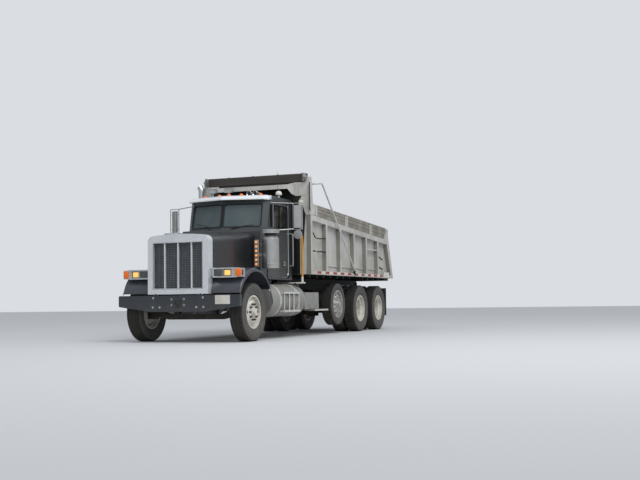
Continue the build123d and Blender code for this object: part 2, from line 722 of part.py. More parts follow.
# the same outline one wall further in, left open to the rear
nose_tip = shield_nose + half_in + sweep_in * shield_sweep / shield_half
corner_x = shield_side + (half_in + pillar_in) / 2
corner_y = (corner_x - nose_tip) * shield_half / shield_sweep
nose_inside = [
    (nose_tip, 0), (corner_x, corner_y),
    (pillar_x, cab_half - cab_wall - 20), (pillar_x + 150, cab_half - cab_wall - 20),
]
with BuildPart() as cab_front:
    # lower cowl box, open to the cab
    side_plate(
        [(aft(cowl_front), cab_bottom), (aft(cowl_front), 2050), (aft(cowl_front + 20), 2100),
         (aft(shield_side), shield_low_z), (aft(pillar_x), shield_low_z), (aft(pillar_x), cab_bottom)],
        -cowl_half, cowl_half)
    nose_foot = [(back - shield_lean * 20, half) for back, half in nose]
    plan_prism(nose_foot, shield_low_z - 20, shield_high_z, shield_lean)
    side_plate(
        [(aft(cowl_front + cab_wall), cab_bottom - 1), (aft(cowl_front + cab_wall), 1990),
         (aft(pillar_x + 1), shield_low_z - cab_wall), (aft(pillar_x + 1), cab_bottom - 1)],
        -cowl_half + cab_wall, cowl_half - cab_wall, mode=Mode.SUBTRACT)
    inside_foot = [(back - shield_lean * 70, half) for back, half in nose_inside]
    plan_prism(inside_foot, shield_low_z - 70, shield_high_z + 1, shield_lean, mode=Mode.SUBTRACT)
    for side in (-1, 1):
        pane(side, 60, mode=Mode.SUBTRACT)
    # door posts with their share of the hinges
    for side in (-1, 1):
        span(aft(post_front), aft(post_rear), side * (cowl_half - cab_wall), side * post_out,
             cab_bottom, shield_low_z - 20)
        for z in hinge_heights:
            for low in (z, z + 2 * (hinge_h + 1)):
                rod_z(aft(hinge_x), side * hinge_y, low, low + hinge_h, hinge_r)
                span(aft(hinge_x), aft(post_front), side * (post_out - 1), side * hinge_y, low, low + hinge_h)
            rod_z(aft(hinge_x), side * hinge_y, z, z + 3 * hinge_h + 2, hinge_pin_r)
save(cab_front.part, "cab_front")

rear_window = (900, 360)
rear_window_z = 2330
with BuildPart() as cab_back:
    span(aft(cab_back_x), aft(cab_back_x - cab_wall), -cab_half, cab_half, cab_bottom, cab_roof_z - cab_wall)
    for y in (-cab_half, cab_half - cab_wall):
        span(aft(cab_back_x - cab_wall), aft(door_rear + door_gap), y, y + cab_wall,
             cab_bottom + sill_t, cab_roof_z - cab_wall)
    with BuildSketch(Plane.YZ.offset(aft(cab_back_x + 50))):
        with Locations((0, rear_window_z)):
            RectangleRounded(*rear_window, 40)
    extrude(amount=200, mode=Mode.SUBTRACT)
save(cab_back.part, "cab_back")

door_top = shield_high_z - 10
top_lean = shield_lean * (shield_high_z - shield_low_z)
roof_outline = [(back + top_lean, half) for back, half in nose] + [(cab_back_x, cab_half)]
roof_inside = [(back + top_lean, half) for back, half in nose_inside[:2]]
roof_inside += [(pillar_x + top_lean + 22, cab_half - cab_wall), (cab_back_x - cab_wall, cab_half - cab_wall)]
with BuildPart() as cab_roof:
    plan_prism(roof_outline, shield_high_z, cab_roof_z)
    fillet(cab_roof.edges().group_by(Axis.Z)[-1], 40)
    plan_prism(roof_inside, shield_high_z - 1, cab_roof_z - cab_wall, mode=Mode.SUBTRACT)
    span(aft(cab_back_x + 1), aft(door_rear + door_gap), -cab_half - 1, cab_half + 1,
         shield_high_z - 1, cab_roof_z - cab_wall, mode=Mode.SUBTRACT)
save(cab_roof.part, "cab_roof")

glass_t = 6
with BuildPart() as cab_glass:
    for side in (-1, 1):
        pane(side, glass_t / 2)
    with BuildSketch(Plane.YZ.offset(aft(cab_back_x - 22))):
        with Locations((0, rear_window_z)):
            RectangleRounded(*rear_window, 40)
    extrude(amount=glass_t)
save(cab_glass.part, "cab_glass")

wheel_x = 1580
wheel_y = 450
wheel_z = 1900
wheel_r = 220
with BuildPart() as dashboard:
    side_plate(
        [(aft(cowl_front + cab_wall), 1700), (aft(cowl_front + cab_wall), 1940), (aft(1160), 2020),
         (aft(1400), 2010), (aft(1440), 1950), (aft(1370), 1700)],
        -cowl_half + cab_wall, cowl_half - cab_wall)
    bar_between((aft(wheel_x - 250), wheel_y, wheel_z - 200), (aft(wheel_x), wheel_y, wheel_z), 22)
    with Locations(Plane(origin=(aft(wheel_x), wheel_y, wheel_z), z_dir=(-250, 0, 200))):
        Torus(wheel_r, 14)
        Box(2 * wheel_r, 26, 16)
save(dashboard.part, "dashboard")

with BuildPart() as seats:
    for y in (-450, 450):
        side_plate(
            [(aft(seat_rear), seat_base_z), (aft(seat_rear - 480), seat_base_z), (aft(seat_rear - 495), 1620),
             (aft(seat_rear - 100), 1640), (aft(seat_rear - 40), 2300), (aft(seat_rear + 70), 2300),
             (aft(seat_rear + 30), 1560)], y - 240, y + 240)
save(seats.part, "seats")

# The visor follows the windshield's V, its rear on the roof's front, and turns round the corner pillars
visor_reach = 125.5
visor_lip = shield_nose + top_lean - visor_reach
visor_corner = 800
visor_wing = (141, 67)
with BuildPart() as sun_visor:
    for side in (-1, 1):
        corner_back = visor_corner * shield_sweep / shield_half
        runs = (
            (0, visor_lip, Vector(-corner_back, side * visor_corner, 0)),
            (visor_corner, visor_lip + corner_back, Vector(-visor_wing[0], side * visor_wing[1], 0)),
        )
        for y, lip, way in runs:
            with BuildSketch(side_plane(side * y)) as profile:
                with BuildLine():
                    Polyline(
                        (aft(lip + visor_reach), cab_roof_z - 5), (aft(lip + visor_reach), cab_roof_z - 75),
                        (aft(lip + 10), cab_roof_z - 100), (aft(lip), cab_roof_z - 96),
                        (aft(lip + 2), cab_roof_z - 74), (aft(lip + 60), cab_roof_z - 28), close=True,
                    )
                make_face()
            extrude(profile.sketch, amount=way.length, dir=way.normalized())
    plan_prism(roof_outline, shield_high_z, cab_roof_z, mode=Mode.SUBTRACT)
save(sun_visor.part, "sun_visor")

# Roof fittings: five clearance lamps, two work lamps and the horns

roof_top = cab_roof_z
with BuildPart() as roof_lamps:
    for y in (-612, -240, 0, 240, 612):
        back = 1358 + abs(y) * shield_sweep / shield_half
        rod_z(aft(back), y, roof_top, roof_top + 16, 52)
        with Locations((aft(back), y, roof_top + 16)):
            Sphere(42, arc_size1=0, align=(Align.CENTER, Align.CENTER, Align.MIN))
    for y in (-460, -100):
        span(aft(1620), aft(1530), y - 85, y + 85, roof_top + 100, roof_top + 195)
        span(aft(1590), aft(1560), y - 12, y + 12, roof_top, roof_top + 100)
    for y, front, rear in ((370, 1500, 2020), (490, 1520, 1940)):
        span(aft(rear - 60), aft(rear - 120), y - 15, y + 15, roof_top, roof_top + 50)
        with BuildSketch(Plane.YZ.offset(aft(rear))):
            with Locations((y, roof_top + 60)):
                Circle(18)
        with BuildSketch(Plane.YZ.offset(aft(front))):
            with Locations((y, roof_top + 60)):
                Circle(50)
        loft()
save(roof_lamps.part, "roof_lamps")

# Air cleaners beside the cowl, each with its cap, its bracket and the bar of small lamps

cleaner_x = 990
cleaner_y = 1052
cleaner_r = 163
cleaner_low = 1333
cleaner_high = 1943
with BuildPart() as air_cleaners:
    rod_z(aft(cleaner_x), cleaner_y, cleaner_low, cleaner_high - 50, cleaner_r)
    with BuildSketch(Plane.XY.offset(cleaner_high - 50)):
        with Locations((aft(cleaner_x), cleaner_y)):
            Circle(cleaner_r)
    with BuildSketch(Plane.XY.offset(cleaner_high)):
        with Locations((aft(cleaner_x), cleaner_y)):
            Circle(120)
    loft()
    rod_z(aft(cleaner_x), cleaner_y, cleaner_high, 2005, 105)
    rod_z(aft(cleaner_x), cleaner_y, 2000, 2067, 170)
    span(aft(cleaner_x + 60), aft(cleaner_x - 5), cowl_half, cleaner_y, 1480, 1540)
    span(aft(cleaner_x + 60), aft(cleaner_x - 5), cowl_half, cleaner_y, 1760, 1820)
    span(aft(cleaner_x - 60), aft(cleaner_x - 380), 905, 925, 1560, 1620)
    span(aft(cleaner_x - 375), aft(cleaner_x - 395), 900, 985, 1355, 1860)
    for lamp in range(6):
        rod_x(aft(cleaner_x - 395), aft(cleaner_x - 415), 945, 1403 + 82 * lamp, 24)
    mirror(about=Plane.XZ)
save(air_cleaners.part, "air_cleaners")

# Doors, each with its window and vent window, rounded at the lower rear corner

door_low = cab_bottom + sill_t + 5


def door_front_x(z, inset=0):
    """X of the door's front edge above the cowl, or of a line this far behind it."""
    return aft(door_front + shield_lean * (z - shield_low_z) + inset)


door_points = [
    (aft(door_front), door_low), (aft(door_rear), door_low), (aft(door_rear), door_top),
    (door_front_x(door_top), door_top), (aft(door_front), shield_low_z),
]
window_low = 2152
window_high = 2603
vent_bar_x = 1560
vent_bar_half = 20
window_points = [
    (aft(door_rear - 25), window_low), (aft(door_rear - 25), window_high),
    (aft(vent_bar_x + vent_bar_half), window_high), (aft(vent_bar_x + vent_bar_half), window_low),
]
vent_points = [
    (aft(vent_bar_x - vent_bar_half), window_low), (aft(vent_bar_x - vent_bar_half), window_high),
    (door_front_x(window_high, 34), window_high), (door_front_x(window_low, 34), window_low),
]
mirror_x = 1600            # distance behind the steer axle
mirror_out = 1360          # from the middle of the truck
mirror_z = 2350
mirror_loop = 95           # half the loop's width
# height on the loop; distance back, height and radius of the foot on the door
mirror_feet = ((mirror_z + 260, 1450, 2632, 20), (mirror_z - 240, 1330, 2075, 26))
for side_name, side, turn in (("left", 1, 17), ("right", -1, -30)):
    inner_y = side * (cab_half - cab_wall)
    outer_y = side * cab_half
    with BuildPart() as door:
        side_plate(door_points, min(inner_y, outer_y), max(inner_y, outer_y))
        corner = door.edges().filter_by(Axis.Y).sort_by_distance((aft(door_rear), outer_y, door_low))[0]
        fillet(corner, 130)
        for points, radius in ((window_points, 40), (vent_points, 22)):
            rounded_plate(points, radius, min(inner_y, outer_y) - 1, max(inner_y, outer_y) + 1,
                          mode=Mode.SUBTRACT)
        for z in hinge_heights:
            low = z + hinge_h + 1
            rod_z(aft(hinge_x), side * hinge_y, low, low + hinge_h, hinge_r)
            span(aft(hinge_x), aft(door_front + 60), side * cab_half, side * (hinge_y + 6),
                 low, low + hinge_h)
            rod_z(aft(hinge_x), side * hinge_y, low, low + hinge_h, hinge_pin_r + run_gap, mode=Mode.SUBTRACT)
    save(door.part, f"door_{side_name}")
    mid_y = (inner_y + outer_y) / 2
    with BuildPart() as panes:
        for points, radius in ((window_points, 40), (vent_points, 22)):
            rounded_plate(points, radius, mid_y - glass_t / 2, mid_y + glass_t / 2)
    save(panes.part, f"door_glass_{side_name}")
    # mirror: a tall head in a tube loop on two arms, with a round mirror under it
    head_x = aft(mirror_x)
    head_y = side * mirror_out
    loop_in = head_y - side * mirror_loop
    loop_out = head_y + side * mirror_loop
    with BuildPart() as mirror_part:
        with Locations(Location((head_x, head_y, mirror_z), (0, 0, turn))):
            with BuildPart(mode=Mode.PRIVATE) as head:
                Box(44, 160, 440)
                fillet(head.edges().filter_by(Axis.Z), 18)
            add(head.part)
        for loop_y in (loop_in, loop_out):
            rod_z(head_x, loop_y, mirror_z - 250, mirror_z + 260, 9)
        for z, radius in ((mirror_z + 260, 9), (mirror_z - 250, 9), (mirror_z + 150, 6), (mirror_z - 150, 6)):
            rod_y(head_x, z, loop_in, loop_out, radius)
        for loop_z, foot, foot_z, foot_r in mirror_feet:
            bar_between((head_x, loop_in, loop_z), (aft(foot), outer_y + side * 8, foot_z), 10)
            rod_y(aft(foot), foot_z, outer_y, outer_y + side * 14, foot_r)
        rod_z(head_x, head_y, mirror_z - 350, mirror_z - 250, 7)
        rod_x(head_x - 15, head_x + 15, head_y, mirror_z - 350, 86)
    save(mirror_part.part, f"mirror_{side_name}")

# Hood: a shell lofted between two crowned sections

def hood_section(x, half, shoulder_z, crown_z, low_z, radius, inset):
    """One section of the hood, drawn inset inside its skin."""
    w = half - inset
    z = shoulder_z
    r = radius - inset
    top = crown_z - inset
    with BuildSketch(Plane.YZ.offset(x)) as section:
        with BuildLine():
            Line((-w, low_z), (-w, z))
            Line((w, low_z), (w, z))
            left_arc = RadiusArc((-w, z), (-w + r, z + r), r)
            right_arc = RadiusArc((w, z), (w - r, z + r), -r)
            ThreePointArc(left_arc @ 1, (0, top), right_arc @ 1)
            Line((-w, low_z), (w, low_z))
        make_face()
    return section.sketch


hood_low = 1215
hood_front_half = 612
hood_rear_half = 722
hood_front_shoulder = 1760
hood_rear_shoulder = 1900
hood_round = 110
# distance behind the steer axle, half width, shoulder, crown
hood_sections = [
    (-hood_front, hood_front_half, hood_front_shoulder, 1915),
    (hood_rear, hood_rear_half, hood_rear_shoulder, 2065),
]
with BuildPart() as hood:
    for inset, low, mode in ((0, hood_low, Mode.ADD), (hood_skin, hood_low - 1, Mode.SUBTRACT)):
        faces = [
            hood_section(aft(back), half, shoulder, crown, low, hood_round, inset)
            for back, half, shoulder, crown in hood_sections
        ]
        loft(sections=faces, ruled=True, mode=mode)
save(hood.part, "hood")

# Fenders: a skin over the wheel with a deep outer lip, and a splash wall inside

fender_in = hood_front_half
fender_out = 1192
arch_x = 55
arch_z = 530
arch_r = 722
fender_low = 872


def fender_outline():
    """The fender in the side view: a flat crown that rolls down over the front, and a short tail."""
    with BuildLine() as outline:
        tail = Polyline(
            (aft(640), fender_low), (aft(672), 1020), (aft(590), 1105), (aft(340), 1258), (aft(40), 1322))
        crown = ThreePointArc(tail @ 1, (aft(-130), 1300), (aft(-290), 1235))
        front = ThreePointArc(crown @ 1, (aft(-500), 1085), (aft(-600), fender_low))
        Line(front @ 1, tail @ 0)
    return outline.line


lamp_low = 1140
lamp_high = 1312
lamp_back = 430
with BuildPart() as fenders:
    with BuildSketch(side_plane(fender_in)):
        add(fender_outline())
        make_face()
    extrude(amount=fender_in - fender_out)
    rim = fenders.edges().group_by(Axis.Y)[-1].filter_by(lambda edge: edge.center().Z > fender_low + 1)
    fillet(rim, 34)
    with BuildSketch(side_plane(fender_in + 14)) as fender_cavity:
        add(fender_outline())
        make_face()
        offset(amount=-hood_skin, mode=Mode.REPLACE)
        with BuildLine():
            Polyline((aft(640), 860), (aft(-590), 860), (aft(-590), 900), (aft(640), 900), close=True)
        make_face()
    extrude(amount=fender_in + 14 - fender_out + 20, mode=Mode.SUBTRACT)
    rod_y(aft(arch_x), arch_z, fender_in - 1, fender_out + 1, arch_r, mode=Mode.SUBTRACT)
    span(aft(-lamp_back), aft(-650), 640, fender_out + 1, lamp_low, lamp_high, mode=Mode.SUBTRACT)
    skins = [
        hood_section(aft(back), half, shoulder, crown, hood_low, hood_round, 0)
        for back, half, shoulder, crown in hood_sections
    ]
    loft(sections=skins, ruled=True, mode=Mode.SUBTRACT)
    mirror(about=Plane.XZ)
save(fenders.part, "fenders")

with BuildPart() as headlamps:
    span(aft(-lamp_back), aft(-575), 640, 1110, lamp_low, lamp_high)
    span(aft(-lamp_back), aft(-565), 1110, fender_out + 5, lamp_low + 8, lamp_high - 8)
    # the arm that carries the lamp's box on the grille surround
    span(aft(-560), aft(-530), grille_half, 641, lamp_low + 40, lamp_high - 42)
    mirror(about=Plane.XZ)
save(headlamps.part, "headlamps")

# Grille surround with its opening and three upright bars; the mesh behind them

opening_half = 500
opening_low = 959
opening_high = 1778
corner_z = 1800
with BuildPart() as surround:
    with BuildSketch(Plane.YZ.offset(aft(-hood_front))):
        with BuildLine():
            Line((-grille_half, grille_low), (grille_half, grille_low))
            Line((grille_half, grille_low), (grille_half, corner_z))
            Line((-grille_half, grille_low), (-grille_half, corner_z))
            right = RadiusArc((grille_half, corner_z), (grille_half - 115, corner_z + 108), -115)
            left = RadiusArc((-grille_half, corner_z), (-grille_half + 115, corner_z + 108), 115)
            ThreePointArc(right @ 1, (0, grille_top), left @ 1)
        make_face()
        with Locations((0, (opening_low + opening_high) / 2)):
            RectangleRounded(2 * opening_half, opening_high - opening_low, 25, mode=Mode.SUBTRACT)
    extrude(amount=grille_front - hood_front)
    for y in (-270, 0, 270):
        span(aft(-grille_front + 50), aft(-grille_front + 12), y - 12, y + 12, opening_low, opening_high)
    # hinge ears that drop to the pins in front of the strap ends
    for y in (-hood_hinge_y, hood_hinge_y):
        span(aft(-grille_front - 1), aft(-hood_front + 1), y - 22, y + 22, grille_low - 1, grille_low + 8,
             mode=Mode.SUBTRACT)
        for ear in (y - 33, y + 25):
            span(aft(-hood_pin_x - 6), aft(-hood_pin_x + 40), ear, ear + 8, hood_pin_z, grille_low + 10)
            rod_y(aft(-hood_pin_x), hood_pin_z, ear, ear + 8, 7.5)
        rod_y(aft(-hood_pin_x), hood_pin_z, y - 40, y + 40, hood_pin_r + run_gap, mode=Mode.SUBTRACT)
save(surround.part, "grille_surround")

with BuildPart() as grille_mesh:
    with BuildSketch(Plane.YZ.offset(aft(-grille_front + 62))):
        with Locations((0, (opening_low + opening_high) / 2)):
            RectangleRounded(2 * opening_half, opening_high - opening_low, 25)
    extrude(amount=6)
save(grille_mesh.part, "grille_mesh")

# Dump body: floor, sides, front wall with the cab shield, side boards, tarp housing


def on_line(x, x0, z0, x1, z1):
    """Height at x on the line through two points."""
    return z0 + (z1 - z0) * (x - x0) / (x1 - x0)


def rail_z(back):
    """Top of the top rail this far behind the steer axle."""
    return on_line(back, bed_front_x, bed_rail_front_z, rail_end_x, bed_rail_rear_z)


def rear_edge(z):
    """Where the leaning rear edge of the side stands at a height."""
    return on_line(z, bed_bottom, foot_end_x, bed_rail_rear_z, rail_end_x)


floor_t = 10
sill_low = rail_top + move_gap
sill_out = 425
sill_in = 345
side_sheet = 8
bottom_rail = 80
sheet_y = bed_half - bed_wall
hoist_head_x = 5650
hoist_head_z = 1155
head_half = 260
floor_beams = (2800, 3200, 3600, 4000, 4400, 4800, 5200, 6080, 6480, 6880, 7280)
with BuildPart() as bed_floor:
    floor_half = sheet_y - side_sheet
    span(aft(foot_end_x - 20), aft(bed_front_x + 45), -floor_half, floor_half,
         bed_bottom, bed_bottom + floor_t)
    for back in floor_beams:
        span(aft(back + 30), aft(back - 30), -floor_half, floor_half, bed_bottom - 60, bed_bottom)
    span(aft(foot_end_x - 40), aft(7720), -floor_half, floor_half, bed_bottom - 60, bed_bottom)
    for y in (sill_in, -sill_out):
        span(aft(tip_x), aft(bed_front_x + 60), y, y + sill_out - sill_in, sill_low, bed_bottom)
        rod_y(aft(tip_x), tip_z, y, y + sill_out - sill_in, tip_z - sill_low)
        span(aft(tip_x + tip_z - sill_low), aft(tip_x), y, y + sill_out - sill_in, tip_z, bed_bottom)
    rod_y(aft(tip_x), tip_z, -sill_out - 1, sill_out + 1, tip_r + run_gap, mode=Mode.SUBTRACT)
    for y in (head_half + move_gap + 1, -head_half - move_gap - 21):
        side_plate(
            [(aft(hoist_head_x + 110), bed_bottom), (aft(hoist_head_x - 110), bed_bottom),
             (aft(hoist_head_x - 50), hoist_head_z - 50), (aft(hoist_head_x + 50), hoist_head_z - 50)],
            y, y + 20)
        rod_y(aft(hoist_head_x), hoist_head_z, y - 1, y + 21, 30, mode=Mode.SUBTRACT)
save(bed_floor.part, "bed_floor")

# the tarp arms' pivots
arm_y = bed_half + 50
arm_r = 17
arm_pin_r = 15
arm_pivot_x = 5170
arm_pivot_z = 1350

# the tailgate's pins, held by ears above the rear end of each side
gate_top = bed_rail_rear_z + 240
gate_half = bed_half - 22
gate_pin_r = 20
gate_pin_out = 60
gate_pin_z = gate_top
gate_pin_x = rear_edge(gate_pin_z) + gate_gap + gate_pin_out

# middle of each rib, distance behind the steer axle
ribs = [2666, 3520, 4370, 5260, 6110, 6980]
rib_half = 48
stakes = (2920, 4790, 6470)
board_t = 50
board_y = bed_half - 70
with BuildPart() as bed_sides:
    with BuildSketch(side_plane(sheet_y)):
        with BuildLine():
            Polyline(
                (aft(bed_front_x), bed_bottom), (aft(foot_end_x), bed_bottom),
                (aft(rail_end_x), bed_rail_rear_z), (aft(bed_front_x), bed_rail_front_z), close=True,
            )
        make_face()
        for i, rib in enumerate(ribs):
            front = rib + rib_half
            low = bed_bottom + bottom_rail
            if i + 1 < len(ribs):
                rear = ribs[i + 1] - rib_half
                corners = [(aft(front), low), (aft(rear), low), (aft(rear), rail_z(rear) - bed_rail_h),
                           (aft(front), rail_z(front) - bed_rail_h)]
            else:
                top_rear = rail_end_x - 95
                corners = [(aft(front), low), (aft(rear_edge(low) - 100), low),
                           (aft(top_rear), rail_z(top_rear) - bed_rail_h),
                           (aft(front), rail_z(front) - bed_rail_h)]
            with BuildLine():
                Polyline(*corners, close=True)
            make_face(mode=Mode.SUBTRACT)
    extrude(amount=-bed_wall)
    with BuildSketch(side_plane(sheet_y - side_sheet)):
        with BuildLine():
            Polyline(
                (aft(bed_front_x), bed_bottom), (aft(foot_end_x), bed_bottom),
                (aft(rail_end_x), bed_rail_rear_z), (aft(bed_front_x), bed_rail_front_z), close=True,
            )
        make_face()
    extrude(amount=-side_sheet)
    side_plate(
        [(aft(rail_end_x - 350), rail_z(rail_end_x - 350) - 20), (aft(rail_end_x), bed_rail_rear_z - 20),
         (aft(rail_end_x), bed_rail_rear_z), (aft(gate_pin_x + 40), gate_pin_z),
         (aft(gate_pin_x), gate_pin_z + 40), (aft(gate_pin_x - 60), gate_pin_z + 40)],
        gate_half + move_gap, bed_half)
    rod_y(aft(gate_pin_x), gate_pin_z, gate_half, bed_half + 1, gate_pin_r + run_gap, mode=Mode.SUBTRACT)
    # stakes that hold the side boards
    for back in stakes:
        span(aft(back + 22), aft(back - 22), board_y + board_t, bed_half - 4,
             rail_z(back) - 40, rail_z(back) + 232)
    rod_y(aft(arm_pivot_x), arm_pivot_z, sheet_y, arm_y - 30, 30)
    rod_y(aft(arm_pivot_x), arm_pivot_z, sheet_y, arm_y + 18, arm_pin_r)
    mirror(about=Plane.XZ)
save(bed_sides.part, "bed_sides")

wall_top = 3150
wall_half = sheet_y - side_sheet
canopy_front = 2215
canopy_half = 880
with BuildPart() as bed_front:
    span(aft(bed_front_x + 45), aft(bed_front_x), -wall_half, wall_half, bed_bottom, wall_top)
    for y in (-960, -640, -320, 0, 320, 640, 960):
        span(aft(bed_front_x), aft(bed_front_x - 50), y - 40, y + 40, bed_bottom, 2800)
    # corner posts above the rails
    for y in (-bed_half, wall_half):
        side_plate(
            [(aft(bed_front_x + 160), bed_rail_front_z + 2), (aft(bed_front_x), bed_rail_front_z + 2),
             (aft(bed_front_x), 3250), (aft(bed_front_x + 90), 3250)], y, y + bed_half - wall_half)
    # cab shield: roof plate, front band and side gussets
    span(aft(bed_front_x), aft(canopy_front), -canopy_half, canopy_half, 3055, 3067)
    span(aft(canopy_front + 12), aft(canopy_front), -canopy_half, canopy_half, 2980, 3067)
    for y in (-canopy_half, canopy_half - 12):
        side_plate(
            [(aft(bed_front_x), 2880), (aft(bed_front_x - 200), 2900), (aft(canopy_front), 2985),
             (aft(canopy_front), 3060), (aft(bed_front_x), 3150)], y, y + 12)
save(bed_front.part, "bed_front")

with BuildPart() as side_boards:
    side_plate(
        [(aft(bed_front_x + 165), rail_z(bed_front_x + 165)), (aft(rail_end_x), bed_rail_rear_z),
         (aft(rear_edge(board_rear_z)), board_rear_z), (aft(bed_front_x + 165), board_front_z)],
        board_y, board_y + board_t)
    mirror(about=Plane.XZ)
save(side_boards.part, "side_boards")

with BuildPart() as tarp_housing:
    span(aft(bed_front_x + 140), aft(bed_front_x), -wall_half, wall_half, wall_top, 3330)
    fillet(tarp_housing.edges().filter_by(Axis.Y), 20)
save(tarp_housing.part, "tarp_housing")

# Tailgate: a leaning ribbed panel hung from its top corners


def gate_x(z, out):
    """X in the tailgate at a height, this far out from its front face."""
    return aft(rear_edge(z) + gate_gap + out)


with BuildPart() as tailgate:
    rod_y(gate_x(gate_pin_z, gate_pin_out), gate_pin_z, -bed_half + 2, bed_half - 2, gate_pin_r)
    side_plate(
        [(gate_x(bed_bottom, 0), bed_bottom), (gate_x(bed_bottom, 12), bed_bottom),
         (gate_x(gate_top, 12), gate_top), (gate_x(gate_top, 0), gate_top)], -gate_half, gate_half)
    for low, high in ((bed_bottom, bed_bottom + 110), (1760, 1860), (gate_top - 110, gate_top)):
        side_plate(
            [(gate_x(low, 0), low), (gate_x(low, gate_t), low), (gate_x(high, gate_t), high),
             (gate_x(high, 0), high)], -gate_half, gate_half)
    for y in (-gate_half, -650, -50, 550, gate_half - 100):
        side_plate(
            [(gate_x(bed_bottom, 0), bed_bottom), (gate_x(bed_bottom, gate_t), bed_bottom),
             (gate_x(gate_top, gate_t), gate_top), (gate_x(gate_top, 0), gate_top)], y, y + 100)
save(tailgate.part, "tailgate")

# Tarp arms: bent tubes at each side, joined over the body by the bow

with BuildPart() as tarp_arms:
    rod_y(aft(arm_pivot_x), arm_pivot_z, arm_y - 24, arm_y + 24, 50)
    bar_between((aft(arm_pivot_x), arm_y, arm_pivot_z), (aft(3150), arm_y, 3160), arm_r)
    bar_between((aft(3150), arm_y, 3160), (aft(2805), arm_y, 3120), arm_r)
    with Locations((aft(3150), arm_y, 3160), (aft(2805), arm_y, 3120)):
        Sphere(arm_r)
    rod_y(aft(2805), 3120, 0, arm_y, arm_r)
    rod_y(aft(arm_pivot_x), arm_pivot_z, arm_y - 25, arm_y + 25, arm_pin_r + run_gap, mode=Mode.SUBTRACT)
    mirror(about=Plane.XZ)
save(tarp_arms.part, "tarp_arms")

# Hoist: two barrels on one foot tube, two rods on one head tube

head_dx = hoist_head_x - hoist_foot_x
head_dz = hoist_head_z - hoist_foot_z
hoist_long = math.hypot(head_dx, head_dz)
hoist_dir = (-head_dx / hoist_long, 0, head_dz / hoist_long)
barrel_r = 85
barrel_bore = 70
rod_r = 50
barrel_end = 1800


def along(distance, y):
    """A point on a hoist's axis, this far from its foot pin."""
    return (aft(hoist_foot_x) + hoist_dir[0] * distance, y, hoist_foot_z + hoist_dir[2] * distance)


def barrel_piece(start, end, y, radius, mode=Mode.ADD):
    """A round length of the hoist between two distances from the foot pin."""
    with BuildSketch(Plane(origin=along(start, y), z_dir=hoist_dir)) as end_face:
        Circle(radius)
    extrude(end_face.sketch, amount=end - start, mode=mode)


with BuildPart() as hoist_barrels:
    rod_y(aft(hoist_foot_x), hoist_foot_z, -cross_in, cross_in, hoist_pin_r)
    for y in (-hoist_y, hoist_y):
        barrel_piece(0, barrel_end, y, barrel_r)
        barrel_piece(60, barrel_end - 60, y, barrel_bore, mode=Mode.SUBTRACT)
        barrel_piece(barrel_end - 80, barrel_end + 1, y, rod_r + run_gap, mode=Mode.SUBTRACT)
save(hoist_barrels.part, "hoist_barrels")

with BuildPart() as hoist_rods:
    rod_y(aft(hoist_head_x), hoist_head_z, -head_half, head_half, 40)
    for y in (-hoist_y, hoist_y):
        barrel_piece(160, hoist_long, y, rod_r)
        barrel_piece(160, 230, y, barrel_bore - 0.5)
save(hoist_rods.part, "hoist_rods")
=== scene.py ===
# %% [markdown]
# # A dump truck, dressed for its portrait
# The solid model of the truck comes in first and never moves: every piece made below is fitted round it,
# in the same metres, and rides on one of its bodies.

# %% Load the solid truck
import math

import bmesh
import bpy
from mathutils import Matrix, Vector


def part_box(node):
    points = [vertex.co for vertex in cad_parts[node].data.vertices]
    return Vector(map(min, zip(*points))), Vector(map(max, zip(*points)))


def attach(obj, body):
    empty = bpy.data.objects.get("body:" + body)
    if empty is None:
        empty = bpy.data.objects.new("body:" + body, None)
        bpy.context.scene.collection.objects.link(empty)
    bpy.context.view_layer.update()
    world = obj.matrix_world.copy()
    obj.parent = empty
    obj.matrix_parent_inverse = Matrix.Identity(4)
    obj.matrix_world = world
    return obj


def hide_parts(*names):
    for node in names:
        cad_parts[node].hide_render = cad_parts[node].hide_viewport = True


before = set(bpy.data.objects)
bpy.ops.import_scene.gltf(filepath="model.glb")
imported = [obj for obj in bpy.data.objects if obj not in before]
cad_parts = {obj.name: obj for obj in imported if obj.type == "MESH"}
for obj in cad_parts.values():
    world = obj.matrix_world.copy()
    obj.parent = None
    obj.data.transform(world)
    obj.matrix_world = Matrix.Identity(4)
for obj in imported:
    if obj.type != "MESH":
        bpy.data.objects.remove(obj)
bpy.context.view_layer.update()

# %% [markdown]
# ## Places
# The truck was drawn in millimetres, measured backwards from the steer axle, to the driver's side and up.
# Every place below could be turned into metres by hand, but numbers read off the drawing are easier to
# check. So one small function does it, and it finds the steer axle by measuring the steer tyre.

# %% Places in millimetres
MM = 0.001
SIDES = (("left", 1), ("right", -1))
low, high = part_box("steer_tyre_left")
STEER_X = (low.x + high.x) / 2


def at(back, y, z):
    """A place this many millimetres behind the steer axle, to the left and up."""
    return Vector((STEER_X - back * MM, y * MM, z * MM))


print("the steer axle stands at x", round(STEER_X, 4))


# %% [markdown]
# ## Colours and nodes
# Colours are noted as the hex codes that a picture editor shows. Blender mixes light in linear numbers, and
# a code used as it is would come out too pale, so one function converts it. Another adds a shader node,
# applies its settings and links it, so that a whole pattern can be read from top to bottom.

# %% Colour and node helpers
def tint(code):
    """A hex colour as the linear numbers that Blender mixes with."""
    shares = [int(code[i:i + 2], 16) / 255 for i in (0, 2, 4)]
    return tuple(c / 12.92 if c <= 0.04045 else ((c + 0.055) / 1.055) ** 2.4 for c in shares) + (1.0,)


def add(tree, kind, sockets=None, **settings):
    """Adds a node, applies its settings, then fills or links its inputs by name or number."""
    made = tree.nodes.new(kind)
    for name, value in settings.items():
        setattr(made, name, value)
    for key, value in (sockets or {}).items():
        if isinstance(value, bpy.types.NodeSocket):
            tree.links.new(value, made.inputs[key])
        else:
            made.inputs[key].default_value = value
    return made


print("a middle grey is mixed as", [round(share, 3) for share in tint("808080")])


